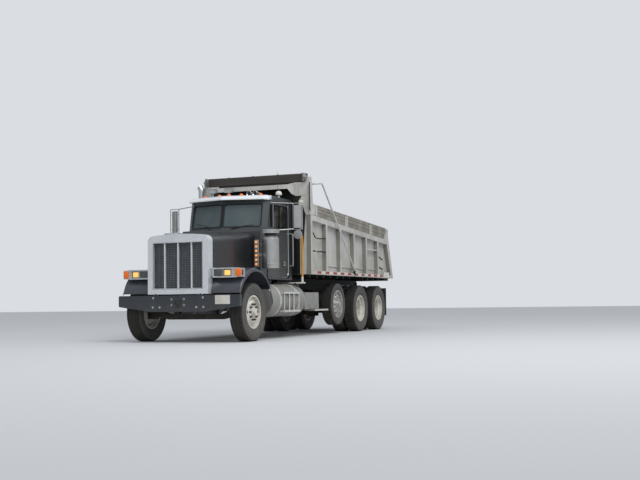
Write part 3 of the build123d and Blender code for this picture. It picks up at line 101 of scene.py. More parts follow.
# %% [markdown]
# ## Patterns
# Three steps come back in every finish: soft noise, stretching what it gives so that only its peaks count,
# and mixing two colours by the result. Each gets a name here. A Color Ramp node could do the last two at
# once, but with numbers in plain sight they are easier to tune one at a time.

# %% Noise, stretch and mix
def noise(tree, place, scale, detail, rough=0.5):
    """Soft noise: its grains are one metre wide, divided by the scale."""
    return add(tree, "ShaderNodeTexNoise", {"Vector": place, "Scale": scale, "Detail": detail,
                                            "Roughness": rough}).outputs["Fac"]


def stretch(tree, value, start, end, low=0.0, high=1.0):
    """Stretches a value, so that start becomes low and end becomes high, and holds it there."""
    return add(tree, "ShaderNodeMapRange", {"Value": value, "From Min": start, "From Max": end,
                                            "To Min": low, "To Max": high}).outputs["Result"]


def mix(tree, share, colour, other):
    """Mixes two colours, with this share of the other one."""
    return add(tree, "ShaderNodeMix", {"Factor": share, 6: colour, 7: other},
               data_type="RGBA").outputs[2]


def facing(tree, axis):
    """How far a face looks along an axis, from -1 to 1."""
    normal = add(tree, "ShaderNodeNewGeometry").outputs["Normal"]
    return add(tree, "ShaderNodeSeparateXYZ", {"Vector": normal}).outputs[axis]


# %% [markdown]
# ## Wear
# Paint on a working truck fades and chips in patches as wide as a hand or a door, and rain draws dirt down
# from every rail. The patches are noise at their real width. For the streaks the same noise is squeezed
# flat along the ground and stretched upwards, which is cheaper than painting a picture of them and works on
# pieces of any shape.

# %% Worn patches and rain streaks
STREAK_SHAPE = (14.0, 14.0, 1.1)  # streaks are thin along the ground and nearly a metre tall


def worn_coat(tree, place, clean, worn, patch, wear, streak):
    """The colour of a coat that is worn in patches and streaked where rain runs down."""
    share = stretch(tree, noise(tree, place, 1 / patch, 5.0, 0.6), 0.42, 0.66, high=wear)
    colour = mix(tree, share, tint(clean), tint(worn))
    if streak:
        tall = add(tree, "ShaderNodeMapping", {"Vector": place, "Scale": STREAK_SHAPE}).outputs["Vector"]
        runs = stretch(tree, noise(tree, tall, 1.0, 4.0), 0.5, 0.72, high=streak)
        colour = mix(tree, runs, colour, tint(worn))
    return colour


# %% [markdown]
# ## Road dust
# Wheels throw dust up, so it is thick near the ground and thins out with height, and it settles on whatever
# looks up. Both are measured on the piece itself, by its height and by the way each face looks, and finer
# noise breaks the film into clouds, because an even film would look like a second coat of paint.

# %% A film of dust by height and slope
DUST_FOOT = 0.25                  # below this height, in metres, the film is at its thickest


def dust_film(tree, place, dust_top, dust_share, lying):
    """How much dust lies at each place, from 0 to 1."""
    height = add(tree, "ShaderNodeSeparateXYZ", {"Vector": place}).outputs["Z"]
    climb = stretch(tree, height, DUST_FOOT, dust_top, low=dust_share, high=0.0)
    settled = stretch(tree, facing(tree, "Z"), 0.35, 1.0, high=lying)
    both = add(tree, "ShaderNodeMath", {0: climb, 1: settled}, operation="ADD").outputs[0]
    clouds = stretch(tree, noise(tree, place, 7.0, 8.0, 0.7), 0.3, 0.65, low=0.35)
    return add(tree, "ShaderNodeMath", {0: both, 1: clouds}, operation="MULTIPLY", use_clamp=True).outputs[0]


# %% [markdown]
# ## Weathered finishes
# Nearly everything on a working truck is one story told with different numbers: a clean coat, wear, and
# dust. One function tells that story, so each finish below only names its colours, its gloss and how far
# the dust climbs. All sizes are real: patches in metres, grit in millimetres. Grain stands for brushed
# metal or sawn wood, and fore_shade for painted shade that darkens the faces that look forward.

# %% One function for worn surfaces
FORE_SHADE = "5E5B53"                  # painted shade on faces that look forward
DUST_GLOSS = 0.85                 # roughness where the film is thick
COAT_GLOSS = 0.12                 # roughness of the clear coat
RELIEF = 0.002                    # how far the surface goes up and down, in metres


def weathered(name, clean, worn, dust, metallic=0.0, rough=0.4, patch=0.5, wear=0.5, dust_top=1.4,
              dust_share=0.5, lying=0.25, streak=0.0, grit=4.0, dent=0.15, coat=0.0, grain=None, fore_shade=0.0):
    """A coat with worn patches, streaks, settled dust and a slightly uneven surface."""
    material = bpy.data.materials.new(name)
    material.use_nodes = True
    tree = material.node_tree
    shader = tree.nodes["Principled BSDF"]
    shader.inputs["Metallic"].default_value = metallic
    shader.inputs["Coat Weight"].default_value = coat
    shader.inputs["Coat Roughness"].default_value = COAT_GLOSS
    place = add(tree, "ShaderNodeTexCoord").outputs["Object"]
    colour = worn_coat(tree, place, clean, worn, patch, wear, streak)
    # painted shade: faces that look forward are darkened towards the shade colour
    if fore_shade:
        colour = mix(tree, stretch(tree, facing(tree, "X"), 0.5, 0.9, high=fore_shade), colour, tint(FORE_SHADE))
    film = dust_film(tree, place, dust_top, dust_share, lying)
    tree.links.new(mix(tree, film, colour, tint(dust)), shader.inputs["Base Color"])
    # gloss: the coat's own, rougher where dust lies
    fine = noise(tree, place, 1000 / grit / 4, 3.0)
    uneven = stretch(tree, fine, 0.0, 1.0, rough - 0.08, rough + 0.1)
    dull = add(tree, "ShaderNodeMix", {"Factor": film, 2: uneven, 3: DUST_GLOSS}, data_type="FLOAT")
    tree.links.new(dull.outputs[0], shader.inputs["Roughness"])
    # relief: the grain where there is one, otherwise small dents and grit
    relief = fine
    if grain:
        along = add(tree, "ShaderNodeMapping", {"Vector": place, "Scale": grain}).outputs["Vector"]
        relief = noise(tree, along, 1.0, 6.0)
    bump = add(tree, "ShaderNodeBump", {"Height": relief, "Strength": dent, "Distance": RELIEF})
    tree.links.new(bump.outputs["Normal"], shader.inputs["Normal"])
    return material


# %% [markdown]
# ## Cab paint
# The cab is two-pack paint sprayed in dark grey and blue-black, gone satin with age. A plain dark colour
# would look like plastic, because real paint mirrors the sky on faces that lean up, so a thin clear coat is
# kept over it. The bumper is powder coated in a bluer black.

# %% Cab, fender and bumper paint
GREY_DUST = "8C867A"
hood_paint = weathered("hood_two_pack_paint", "17181C", "1F2125", GREY_DUST, rough=0.34, coat=0.35,
                       patch=0.8, dust_top=1.6, dust_share=0.08, lying=0.10)
cab_paint = weathered("cab_two_pack_paint", "2C3133", "3A3F40", GREY_DUST, rough=0.36, coat=0.35,
                      patch=0.7, dust_top=1.7, dust_share=0.28, lying=0.10)
fender_paint = weathered("fender_two_pack_paint", "242A35", "2F3642", GREY_DUST, rough=0.34, coat=0.40,
                         patch=0.5, dust_top=1.4, dust_share=0.25, lying=0.08)
bumper_paint = weathered("bumper_powder_coat", "1A2029", "252C36", GREY_DUST, rough=0.34, coat=0.35,
                         patch=0.4, dust_top=1.0, dust_share=0.22, lying=0.12)
print("cab finishes:", hood_paint.name, cab_paint.name, fender_paint.name, bumper_paint.name)

# %% [markdown]
# ## Chassis and body paint
# Frame and axles are black paint and bare iron under dust and old grease. The tipping body was painted
# light grey and then scoured by its loads, so its steel shows through in warm patches and dirt runs down
# from its rails. The side's faces that look forward, the ribs' fronts, get painted shade.

# %% Frame, axle, body and pole paint
frame_paint = weathered("chassis_black_paint", "0D0E0F", "161514", "5A544B", rough=0.6, patch=0.3,
                        dust_top=1.3, dust_share=0.2, lying=0.25)
axle_iron = weathered("cast_iron_black", "131313", "231F1C", "6E675C", rough=0.7, patch=0.12,
                      dust_top=1.2, dust_share=0.45, lying=0.3, grit=8.0, dent=0.4)
body_paint = weathered("tipper_grey_paint", "C2C2BD", "A29E94", "A39D90", rough=0.55, patch=0.45, wear=0.55,
                       dust_top=2.0, dust_share=0.3, lying=0.3, streak=0.3, dent=0.25)
# painted shade on the side's forward faces, where the ribs' fronts fall dark
side_paint = weathered("tipper_side_paint", "BDBCB7", "9A968B", "A09A8C", rough=0.55, patch=0.45, wear=0.6,
                       dust_top=2.0, dust_share=0.35, lying=0.3, streak=0.4, dent=0.25, fore_shade=0.75)
body_inside = weathered("scoured_steel_floor", "6B665E", "8A8479", "7A6F5F", metallic=0.35, rough=0.5,
                        patch=0.6, wear=0.8, dust_top=3.0, dust_share=0.5, lying=0.4, streak=0.3)
housing_paint = weathered("tarp_housing_paint", "2E2A28", "3C3733", GREY_DUST, rough=0.5, patch=0.4,
                          dust_top=4.0, dust_share=0.15, lying=0.25, streak=0.3)
pole_paint = weathered("marker_pole_paint", "C98A12", "A8761C", GREY_DUST, rough=0.45, patch=0.1)
white_paint = weathered("white_lacquer", "D8D5CC", "B5B0A2", GREY_DUST, rough=0.4, patch=0.15)
print(len(bpy.data.materials), "finishes with the body's and the chassis's paint")

# %% [markdown]
# ## Aluminium
# Tanks and boxes are mill-finish aluminium, dulled by salt, with a rolled grain along the sheet. The grille
# surround was polished long ago and the lifted axle's wheels still are, while the steps are scuffed pale by
# boots. Polished metal only shows what stands around it, so the surround is kept half metallic: under an
# even sky a full mirror would lose the pale tone that it has outdoors.

# %% Aluminium and wheel finishes
dull_aluminium = weathered("mill_aluminium", "A2A29E", "7E7C75", "8A8476", metallic=0.55, rough=0.42,
                           patch=0.25, dust_top=1.2, dust_share=0.35, streak=0.35, grain=(4, 300, 300))
grille_aluminium = weathered("polished_aluminium_surround", "DADDE0", "C4C7CA", "B0ACA2", metallic=0.45,
                             rough=0.25, patch=0.3, dust_top=1.3, dust_share=0.1, lying=0.0, grit=60.0,
                             dent=0.004)
wheel_aluminium = weathered("forged_aluminium_wheel", "DAD9D5", "96928A", "7E776A", metallic=0.7, rough=0.22,
                            patch=0.06, wear=0.7, dust_top=1.1, dust_share=0.45, lying=0.1)
wheel_white = weathered("enamelled_steel_wheel", "DEDBD2", "ACA595", "8A8272", rough=0.45, patch=0.09,
                        wear=0.6, dust_top=1.1, dust_share=0.3, lying=0.1, grit=10.0)
step_aluminium = weathered("scuffed_aluminium", "CFCFCB", "AFAEA8", "9A9488", metallic=0.3, rough=0.4,
                           patch=0.1, dust_top=1.1, dust_share=0.2, lying=0.15)
print(len(bpy.data.materials), "finishes with the aluminium ones")

# %% [markdown]
# ## Steel and chrome
# The air cleaners are brushed stainless steel. Their fine scratches all run one way, so their grain is
# noise stretched upwards. The visor is the same steel, polished. Horns, bezels and stack are chrome plate,
# which is smooth and mirrors the sky, and bolts are plated with dull zinc.

# %% Plated and brushed finishes
stainless = weathered("brushed_stainless", "B7B7B4", "9A9993", "8F8A7E", metallic=0.85, rough=0.3,
                      patch=0.25, dust_top=2.0, dust_share=0.2, lying=0.1, grain=(300, 300, 6))
visor_steel = weathered("polished_visor_steel", "F2F4F5", "E2E4E5", "B5B0A6", metallic=0.6, rough=0.2,
                        patch=0.3, dust_top=2.0, dust_share=0.0, lying=0.03, grit=60.0, dent=0.02)
chrome = weathered("chrome_plate", "D6D8DA", "B5B6B6", "8F8A7E", metallic=1.0, rough=0.14, patch=0.2,
                   dust_top=1.2, dust_share=0.3, lying=0.1, dent=0.03)
bright_steel = weathered("zinc_plated_steel", "C4C5C4", "9D9B94", "8F8A7E", metallic=0.9, rough=0.35,
                         patch=0.05, dust_top=1.0, dust_share=0.2)
mesh_metal = weathered("woven_wire_mesh", "5E6165", "74777A", "7E776C", metallic=0.3, rough=0.4, patch=0.2,
                       dust_top=1.4, dust_share=0.15)
print(len(bpy.data.materials), "finishes with the plated ones")

# %% [markdown]
# ## Rubber, wood, cloth and plastic
# Tyre sidewalls are carbon-black rubber under a grey film of dust, and only the tread stays black, so a
# tyre takes two finishes. The side boards are sawn planks, greyed by rain: their grain runs along the
# truck, and it stands up far enough to see, which is why their dents are the deepest of all.

# %% Soft and dark finishes
tread_rubber = weathered("tyre_tread_rubber", "131313", "201F1E", "6A645A", rough=0.8, patch=0.08,
                         dust_top=1.1, dust_share=0.25, lying=0.1, grit=6.0, dent=0.5)
sidewall_rubber = weathered("tyre_sidewall_rubber", "3E3E3D", "4C4B49", "76716A", rough=0.8, patch=0.12,
                            dust_top=1.4, dust_share=0.5, lying=0.1, grit=5.0, dent=0.4)
flap_rubber = weathered("moulded_black_rubber", "141414", "222120", "6A645A", rough=0.75, patch=0.2,
                        dust_top=1.2, dust_share=0.35)
board_wood = weathered("sawn_weathered_pine", "79746A", "98948A", "8A8478", rough=0.8, patch=0.3, wear=0.9,
                       dust_top=0.5, dust_share=0.0, lying=0.15, grain=(6, 160, 160), dent=0.8)
black_plastic = weathered("moulded_abs_black", "17181A", "222325", GREY_DUST, rough=0.5, patch=0.2,
                          dust_top=1.0, dust_share=0.1, lying=0.1, grit=3.0)
seat_cloth = weathered("woven_seat_cloth", "2B2C31", "37383D", "4A4842", rough=0.9, patch=0.2,
                       dust_top=0.5, dust_share=0.0, lying=0.1, grit=5.0, dent=0.6)
print(len(bpy.data.materials), "finishes with rubber, wood, cloth and plastic")


# %% [markdown]
# ## Glass and lenses
# Cab glass is thin, tinted and mirrors the grey sky. Real refraction would show every fault of the thin
# panes and take long to render, so a pane is a dark glossy sheet that is let through a little by its alpha.
# Lenses are moulded acrylic: amber or red plastic with fine ribs and a glow of its own colour inside.

# %% Glass and lens finishes
def glassy(name, colour, rough=0.05, alpha=1.0, glow=0.0, ripple=0.0, metallic=0.0):
    """A smooth sheet, a mirror or a moulded lens of one colour, under a thin film of dust."""
    material = bpy.data.materials.new(name)
    material.use_nodes = True
    tree = material.node_tree
    shader = tree.nodes["Principled BSDF"]
    shader.inputs["Roughness"].default_value = rough
    shader.inputs["Metallic"].default_value = metallic
    shader.inputs["IOR"].default_value = 1.5
    shader.inputs["Alpha"].default_value = alpha
    shader.inputs["Emission Strength"].default_value = glow
    shader.inputs["Emission Color"].default_value = tint(colour)
    place = add(tree, "ShaderNodeTexCoord").outputs["Object"]
    film = stretch(tree, noise(tree, place, 3.0, 4.0), 0.4, 0.8, high=0.18)
    tree.links.new(mix(tree, film, tint(colour), tint(GREY_DUST)), shader.inputs["Base Color"])
    if ripple:
        ribs = add(tree, "ShaderNodeTexWave", {"Vector": place, "Scale": ripple, "Distortion": 0.0},
                   bands_direction="Y")
        bump = add(tree, "ShaderNodeBump", {"Height": ribs.outputs["Fac"], "Strength": 0.4,
                                            "Distance": RELIEF})
        tree.links.new(bump.outputs["Normal"], shader.inputs["Normal"])
    return material


shield_glass = glassy("tinted_windshield", "4C5A5E", rough=0.06, alpha=0.82)
side_glass = glassy("dark_side_glass", "080B0D", rough=0.05, alpha=0.94)
mirror_glass = glassy("mirror_glass", "8D9498", rough=0.04, metallic=1.0)
amber_lens = glassy("amber_acrylic_lens", "E06A10", rough=0.25, glow=0.12, ripple=90)
red_lens = glassy("red_acrylic_lens", "8E1410", rough=0.25, glow=0.05, ripple=90)
clear_lens = glassy("clear_lamp_lens", "C9CDCD", rough=0.12, alpha=0.55, ripple=110)
warm_lamp = glassy("lit_lamp_reflector", "F2B85E", rough=0.3, glow=0.75, ripple=110)
dark_lamp = glassy("dark_lamp_reflector", "4A4C4E", rough=0.15, ripple=110)
red_tape = glassy("reflective_tape_red", "9A2B28", rough=0.4)
white_tape = glassy("reflective_tape_white", "CFCCC4", rough=0.4)
print(len(bpy.data.materials), "finishes with glass, lenses and tape")

# %% [markdown]
# ## Painting the solid pieces
# Most solids already have the real shape, so they only need the right finish. It could be set piece by
# piece, but a table that names each node once, beside the finish that the real piece has, shows at a glance
# that none is forgotten.

# %% Finishes on the solid pieces
finishes = {
    hood_paint: ["hood"],
    fender_paint: ["fenders"],
    bumper_paint: ["front_bumper"],
    cab_paint: ["cab_floor", "cab_front", "cab_back", "cab_roof", "door_left", "door_right"],
    grille_aluminium: ["grille_surround"],
    chrome: ["headlamps", "roof_lamps", "exhaust_stack", "hoist_rods"],
    stainless: ["air_cleaners", "mirror_left", "mirror_right"],
    visor_steel: ["sun_visor"],
    shield_glass: ["cab_glass"],
    side_glass: ["door_glass_left", "door_glass_right"],
    dull_aluminium: ["fuel_tanks", "side_boxes"],
    step_aluminium: ["tank_mounts", "tarp_arms"],
    body_paint: ["bed_front", "tailgate"],
    side_paint: ["bed_sides"],
    body_inside: ["bed_floor"],
    housing_paint: ["tarp_housing"],
    board_wood: ["side_boards"],
    frame_paint: ["chassis_frame", "driveline", "hoist_barrels"],
    axle_iron: ["engine", "front_axle", "lift_axle", "drive_axles", "knuckle_left", "knuckle_right"],
    flap_rubber: ["mud_flaps"],
    black_plastic: ["dashboard", "grille_mesh"],
    seat_cloth: ["seats"],
    wheel_white: [f"{axle}_rim_{side}" for axle in ("steer", "drive1", "drive2") for side, _ in SIDES],
    wheel_aluminium: [f"lift_rim_{side}" for side, _ in SIDES],
}
for finish, names in finishes.items():
    for name in names:
        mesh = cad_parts[name].data
        mesh.materials.clear()
        mesh.materials.append(finish)
print("painted", sum(len(names) for names in finishes.values()), "solid pieces")


# %% [markdown]
# ## Painted shade on two pieces
# Two solids carry a second colour, black, which is painted shade. The headboard is painted black where it
# faces the cab, under its shield, where shade falls, and the floor's beams are painted black below the
# plate, for the shade under the body. A solid's mesh is left alone, so no seam is cut into it: each
# face is asked which way it looks and where it lies, and the right ones take the second finish.

# %% Painted shade on the headboard and under the floor
def shaded_toward_cab(face):
    """Faces of the headboard between its posts, and the underside of its shield, which take painted shade."""
    ahead = face.normal.x > 0.9 and face.center.x < STEER_X - 2.5 and abs(face.center.y) < 1.05
    return ahead or face.normal.z < -0.9 and face.center.z > 2.9


def shaded_below_plate(face):
    """Faces of the beams that carry the floor's plate, which take painted shade."""
    return face.center.z < 1.2545


for name, chosen in (("bed_front", shaded_toward_cab), ("bed_floor", shaded_below_plate)):
    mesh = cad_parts[name].data
    mesh.materials.append(frame_paint)
    # painted shade: the chosen faces take the black second finish
    dark = [face for face in mesh.polygons if chosen(face)]
    for face in dark:
        face.material_index = 1
    print(name, "has", len(dark), "black faces")


# %% [markdown]
# ## Making pieces
# Each new piece starts as an empty mesh being edited, a bmesh, because its operators need no window and no
# selection. Four helpers put the common shapes in it. Most fittings on a truck are cut plate and round bar,
# so a softened block, a bar, a ball and a turned shape go a long way.

# %% Blocks and bars
def block(mesh, corner, opposite, soft=0.0):
    """A box between two corners, its edges rounded by soft metres."""
    a, b = Vector(corner), Vector(opposite)
    size = Vector([abs(v) for v in b - a])
    put = Matrix.Translation((a + b) / 2) @ Matrix.Diagonal((*size, 1.0))
    made = bmesh.ops.create_cube(mesh, size=1.0, matrix=put)["verts"]
    if soft:
        edges = list({edge for vert in made for edge in vert.link_edges})
        bmesh.ops.bevel(mesh, geom=edges, offset=soft, affect="EDGES", segments=2, profile=0.5, material=-1)


def bar(mesh, start, end, radius, end_radius=None, sides=16):
    """A round bar or cone from one place to another."""
    start, end = Vector(start), Vector(end)
    way = end - start
    put = Matrix.Translation((start + end) / 2) @ way.to_track_quat("Z", "Y").to_matrix().to_4x4()
    bmesh.ops.create_cone(mesh, cap_ends=True, segments=sides, radius1=radius, depth=way.length, matrix=put,
                          radius2=radius if end_radius is None else end_radius)


# %% Balls and turned shapes
def ball(mesh, centre, radius, flat=(1, 1, 1), sides=16):
    """A ball, or a dome where it is sunk in something, flattened along the axes."""
    put = Matrix.Translation(centre) @ Matrix.Diagonal((*flat, 1.0))
    bmesh.ops.create_uvsphere(mesh, u_segments=sides, v_segments=sides // 2, radius=radius, matrix=put)


def turned(mesh, outline, centre, axis, steps=48):
    """A turned shape: an outline of (out, along) places in metres, spun about an axis through centre."""
    axis = Vector(axis).normalized()
    out = axis.orthogonal().normalized()
    verts = [mesh.verts.new(Vector(centre) + out * r + axis * along) for r, along in outline]
    edges = [mesh.edges.new(pair) for pair in zip(verts, verts[1:])]
    bmesh.ops.spin(mesh, geom=verts + edges, cent=centre, axis=axis, angle=math.tau, steps=steps,
                   use_merge=True)
    bmesh.ops.remove_doubles(mesh, verts=list(mesh.verts), dist=1e-5)
    bmesh.ops.recalc_face_normals(mesh, faces=list(mesh.faces))


# %% [markdown]
# ## Handing a piece over
# A finished bmesh becomes a named object that stands at the origin, unturned, with its place in its mesh.
# It then rides on one body of the truck, so that it moves with the door or the wheel that carries it. Each
# cell below ends by printing what it made, so that a piece that came out empty is seen at once.

# %% Naming a piece and telling what was made
fresh = []                        # what was made since the last time it was told


def keep(name, mesh, body, finish, smooth=False):
    """Closes a bmesh into a named piece that rides on a body."""
    data = bpy.data.meshes.new(name)
    mesh.to_mesh(data)
    mesh.free()
    piece = bpy.data.objects.new(name, data)
    bpy.context.scene.collection.objects.link(piece)
    for one in finish if isinstance(finish, (list, tuple)) else [finish]:
        data.materials.append(one)
    if smooth:
        data.shade_smooth()
        data.set_sharp_from_angle(angle=math.radians(35))
    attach(piece, body)
    fresh.append(f"{name} {len(data.polygons)}")
    return piece


def tell():
    """Prints the pieces made since the last call, each with its number of faces."""
    print("made, with faces:", ", ".join(fresh))
    fresh.clear()


# %% [markdown]
# ## Tyres
# A truck tyre is moulded rubber: a smooth sidewall with raised rings, and a tread whose ribs or blocks stand
# a centimetre above the groove floor. A picture of a tread could be laid on a plain ring, but the blocks
# would vanish at the tyre's edge, where they show most. So the section is drawn once and spun about the
# axle, and the ribs and blocks are pushed out of the floor. Steered and lifted wheels carry ribs, driven
# ones carry blocks.

# %% The section of a tyre
STEPS = 3 * 40                    # forty blocks round a tyre: two steps of rubber each, one of groove
GROOVE = 0.011
BEAD = 0.296                      # radius where the rubber sits on the rim
# sidewall: share of the way out from the bead, and share of half the width
WALL_SHAPE = ((0.00, 0.70), (0.05, 0.77), (0.10, 0.85), (0.13, 0.88), (0.14, 0.905), (0.165, 0.905),
              (0.175, 0.90), (0.30, 0.965), (0.42, 0.992), (0.50, 1.0), (0.60, 0.985), (0.61, 1.0),
              (0.64, 0.995), (0.65, 0.975), (0.78, 0.935), (0.88, 0.88), (0.94, 0.83))
# rows of rubber: their edges as shares of half the width, and whether they are cut into blocks
RIB_ROWS = ((-0.76, -0.54, True), (-0.46, -0.18, False), (-0.11, 0.11, False), (0.18, 0.46, False),
            (0.54, 0.76, True))
LUG_ROWS = ((-0.76, -0.44, True), (-0.36, -0.05, True), (0.05, 0.36, True), (0.44, 0.76, True))


def section(outer, half, rows):
    """The closed outline of a tyre, as (radius, across) places."""
    wall = [(BEAD + up * (outer - BEAD), across * half) for up, across in WALL_SHAPE]
    tread = sorted({edge for row in rows for edge in row[:2]}, reverse=True)
    return wall + [(outer - GROOVE, edge * half) for edge in tread] + [(r, -y) for r, y in reversed(wall)]


print("the section of a ribbed tyre has", len(section(0.527, 0.140, RIB_ROWS)), "places")


# %% Spinning the section and raising the tread
def raise_row(rubber, number, row, outer, half):
    """Pushes one row of rubber out of the groove floor."""
    start, end, blocks = row
    floor_r = outer - GROOVE
    raised = []
    for face in rubber.faces:
        centre = face.calc_center_median()
        out = math.hypot(centre.x, centre.z)
        step = int(math.atan2(centre.z, centre.x) / math.tau * STEPS + STEPS)
        on_row = start * half < centre.y < end * half and abs(out - floor_r) < 0.004
        if on_row and not (blocks and step % 3 == number % 3):
            raised.append(face)
    pushed = bmesh.ops.extrude_face_region(rubber, geom=raised)["geom"]
    bmesh.ops.delete(rubber, geom=raised, context="FACES_KEEP_BOUNDARY")
    grow = outer / floor_r
    bmesh.ops.scale(rubber, vec=(grow, 1, grow),
                    verts=[part for part in pushed if isinstance(part, bmesh.types.BMVert)])


def tyre_mesh(name, outer, half, rows):
    """A tyre about Y at the origin: tread in the first finish, sidewalls in the second."""
    rubber = bmesh.new()
    verts = [rubber.verts.new((r, y, 0)) for r, y in section(outer, half, rows)]
    edges = [rubber.edges.new(pair) for pair in zip(verts, verts[1:] + verts[:1])]
    bmesh.ops.spin(rubber, geom=verts + edges, cent=(0, 0, 0), axis=(0, 1, 0), angle=math.tau, steps=STEPS,
                   use_merge=True)
    bmesh.ops.recalc_face_normals(rubber, faces=list(rubber.faces))
    for number, row in enumerate(rows):
        raise_row(rubber, number, row, outer, half)
    for face in rubber.faces:
        centre = face.calc_center_median()
        on_tread = math.hypot(centre.x, centre.z) > BEAD + 0.86 * (outer - BEAD)
        face.material_index = 0 if on_tread else 1
    data = bpy.data.meshes.new(name)
    rubber.to_mesh(data)
    rubber.free()
    return data


rib_tyre = tyre_mesh("rib_section", 0.527, 0.140, RIB_ROWS)
lift_tyre = tyre_mesh("lift_section", 0.457, 0.1275, RIB_ROWS)
lug_tyre = tyre_mesh("lug_section", 0.527, 0.140, LUG_ROWS)
print("a block tyre has", len(lug_tyre.polygons), "faces")


# %% [markdown]
# ## Tyres on their wheels
# Three shapes make all twelve tyres. Each wheel's middle is measured on its solid tyre, which the dressed
# one then stands for. The driven wheels carry twins, close together on one hub, so both go in one piece.

# %% Placing the tyres
def placed(mesh, source, put):
    """Adds a copy of a finished mesh, moved into its place."""
    first = len(mesh.verts)
    mesh.from_mesh(source)
    mesh.verts.ensure_lookup_table()
    bmesh.ops.transform(mesh, matrix=put, verts=mesh.verts[first:])


TWIN = 0.343                      # between the middles of twin tyres
AXLES = (("steer", rib_tyre, (0,)), ("lift", lift_tyre, (0,)), ("drive1", lug_tyre, (-TWIN / 2, TWIN / 2)),
         ("drive2", lug_tyre, (-TWIN / 2, TWIN / 2)))
wheel_centre = {}
for axle, shape, spots in AXLES:
    for side, _ in SIDES:
        low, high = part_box(f"{axle}_tyre_{side}")
        wheel_centre[axle, side] = (low + high) / 2
        mesh = bmesh.new()
        for spot in spots:
            placed(mesh, shape, Matrix.Translation(wheel_centre[axle, side] + Vector((0, spot, 0))))
        tyre = keep(f"{axle}_rubber_{side}", mesh, f"{axle}_wheel_{side}", [tread_rubber, sidewall_rubber],
                    smooth=True)
        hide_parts(f"{axle}_tyre_{side}")
tell()

# %% [markdown]
# ## Wheel nuts and hub flanges
# Ten nuts hold each wheel. On the steered wheels they are bare and dark with old grease. On the lifted
# wheels tall pressed covers stand over them, and they are what catches the eye there. The driven wheels
# show the axle's flange with its ring of small studs, deep in the dish. A nut could be six-sided with a
# thread in it, but at this size a short cone with twelve sides catches the light in the same way.

# %% Nuts, covers and hub flanges
NUTS_A_WHEEL = 10
NUT_RING = 0.142875               # radius of the ring of nuts, in metres
# axle, nuts start from the wheel's middle, cover's length and radii, ring of flange studs, its place
NUTS = (("steer", 0.094, 0.036, 0.019, 0.017, 0.046, 0.118),
        ("lift", 0.094, 0.062, 0.021, 0.009, 0.046, 0.118),
        ("drive1", 0.012, 0.036, 0.019, 0.017, 0.062, 0.130),
        ("drive2", 0.012, 0.036, 0.019, 0.017, 0.062, 0.130))
for axle, start, length, root, tip, stud_ring, flange in NUTS:
    finish, slot = (chrome, "lamp_chrome") if axle == "lift" else (axle_iron, "axle_iron")
    for side, sign in SIDES:
        mesh = bmesh.new()
        centre = wheel_centre[axle, side]
        for number in range(NUTS_A_WHEEL):
            turn = math.tau * number / NUTS_A_WHEEL
            spoke = Vector((math.cos(turn), 0, math.sin(turn)))
            foot = centre + spoke * NUT_RING + Vector((0, sign * start, 0))
            bar(mesh, foot, foot + Vector((0, sign * length, 0)), root, tip, sides=12)
            stud = centre + spoke * stud_ring + Vector((0, sign * flange, 0))
            bar(mesh, stud, stud + Vector((0, sign * 0.016, 0)), 0.008, sides=6)
        keep(f"{axle}_nuts_{side}", mesh, f"{axle}_wheel_{side}", finish, smooth=True)
tell()

# %% [markdown]
# ## Bumper
# The bumper is folded plate, held to its brackets by bright bolts. The tow pocket in its middle is a dark
# hole with a plate round it. The solid bumper has the real hole and folds already, so only what is bolted
# on is added: a washer and a six-sided nut for each bolt, and the rim of the pocket.

# %% Bumper bolts and tow pocket
FACE = -690                       # the bumper's face, ahead of the steer axle
mesh = bmesh.new()
for y, z, face in ((125, 772, FACE - 3), (125, 668, FACE - 3), (500, 797, FACE), (510, 630, FACE),
                   (370, 630, FACE)):
    for sign in (-1, 1):
        bar(mesh, at(face, sign * y, z), at(face - 2, sign * y, z), 0.020, sides=20)
        bar(mesh, at(face - 2, sign * y, z), at(face - 4.8, sign * y, z), 0.0135, 0.0125, sides=6)
keep("bumper_bolts", mesh, "chassis", bright_steel, smooth=True)
mesh = bmesh.new()
for y0, y1, z0, z1 in ((-74, 74, 754, 762), (-74, 74, 680, 688), (-74, -52, 688, 754), (52, 74, 688, 754),
                       (-46, 46, 622, 680)):
    block(mesh, at(FACE - 2, y0, z0), at(FACE - 6, y1, z1), 0.0015)
keep("tow_mouth", mesh, "chassis", flap_rubber)
tell()

# %% [markdown]
# ## Number plate
# A number plate is thin sheet in a plastic holder. It stays blank here. It could be one block, but the dark
# rim of the holder is what makes it read as a plate from afar, so the holder is a block of its own.

# %% Blank plate in its holder
mesh = bmesh.new()
block(mesh, at(FACE, 733, 668), at(FACE - 2, 1039, 840), 0.0008)
keep("plate_holder", mesh, "chassis", black_plastic)
mesh = bmesh.new()
block(mesh, at(FACE - 2, 741, 676), at(FACE - 5, 1031, 832), 0.001)
keep("blank_plate", mesh, "chassis", white_paint)
tell()

# %% [markdown]
# ## Grille
# Behind three bright bars the opening is filled with woven wire: light wires over a dark hole. A bump or a
# picture of a weave would look flat from the side, and real wires are only a few millimetres apart, which
# is finer than this picture can show. So the wires are real but coarser: flat strips, one layer of each way.

# %% Woven wire
PITCH = 31                        # between two wires
mesh = bmesh.new()
for y in range(-490, 491, PITCH):
    block(mesh, at(-630, y - 4, 962), at(-636, y + 4, 1775))
for z in range(966, 1776, PITCH):
    block(mesh, at(-632, -497, z - 4), at(-637, 497, z + 4))
keep("grille_weave", mesh, "hood", mesh_metal)
tell()

# %% Bars and the bead round the opening
mesh = bmesh.new()
for y in (-270, 0, 270):
    block(mesh, at(-640, y - 13, 950), at(-681, y + 13, 1784), 0.004)
keep("grille_bars", mesh, "hood", grille_aluminium)
mesh = bmesh.new()
for sign in (-1, 1):
    block(mesh, at(-680, sign * 488, 955), at(-694, sign * 506, 1782), 0.004)
for z in (957, 1780):
    block(mesh, at(-680, -506, z - 9), at(-694, 506, z + 9), 0.004)
keep("grille_bead", mesh, "hood", chrome)
tell()

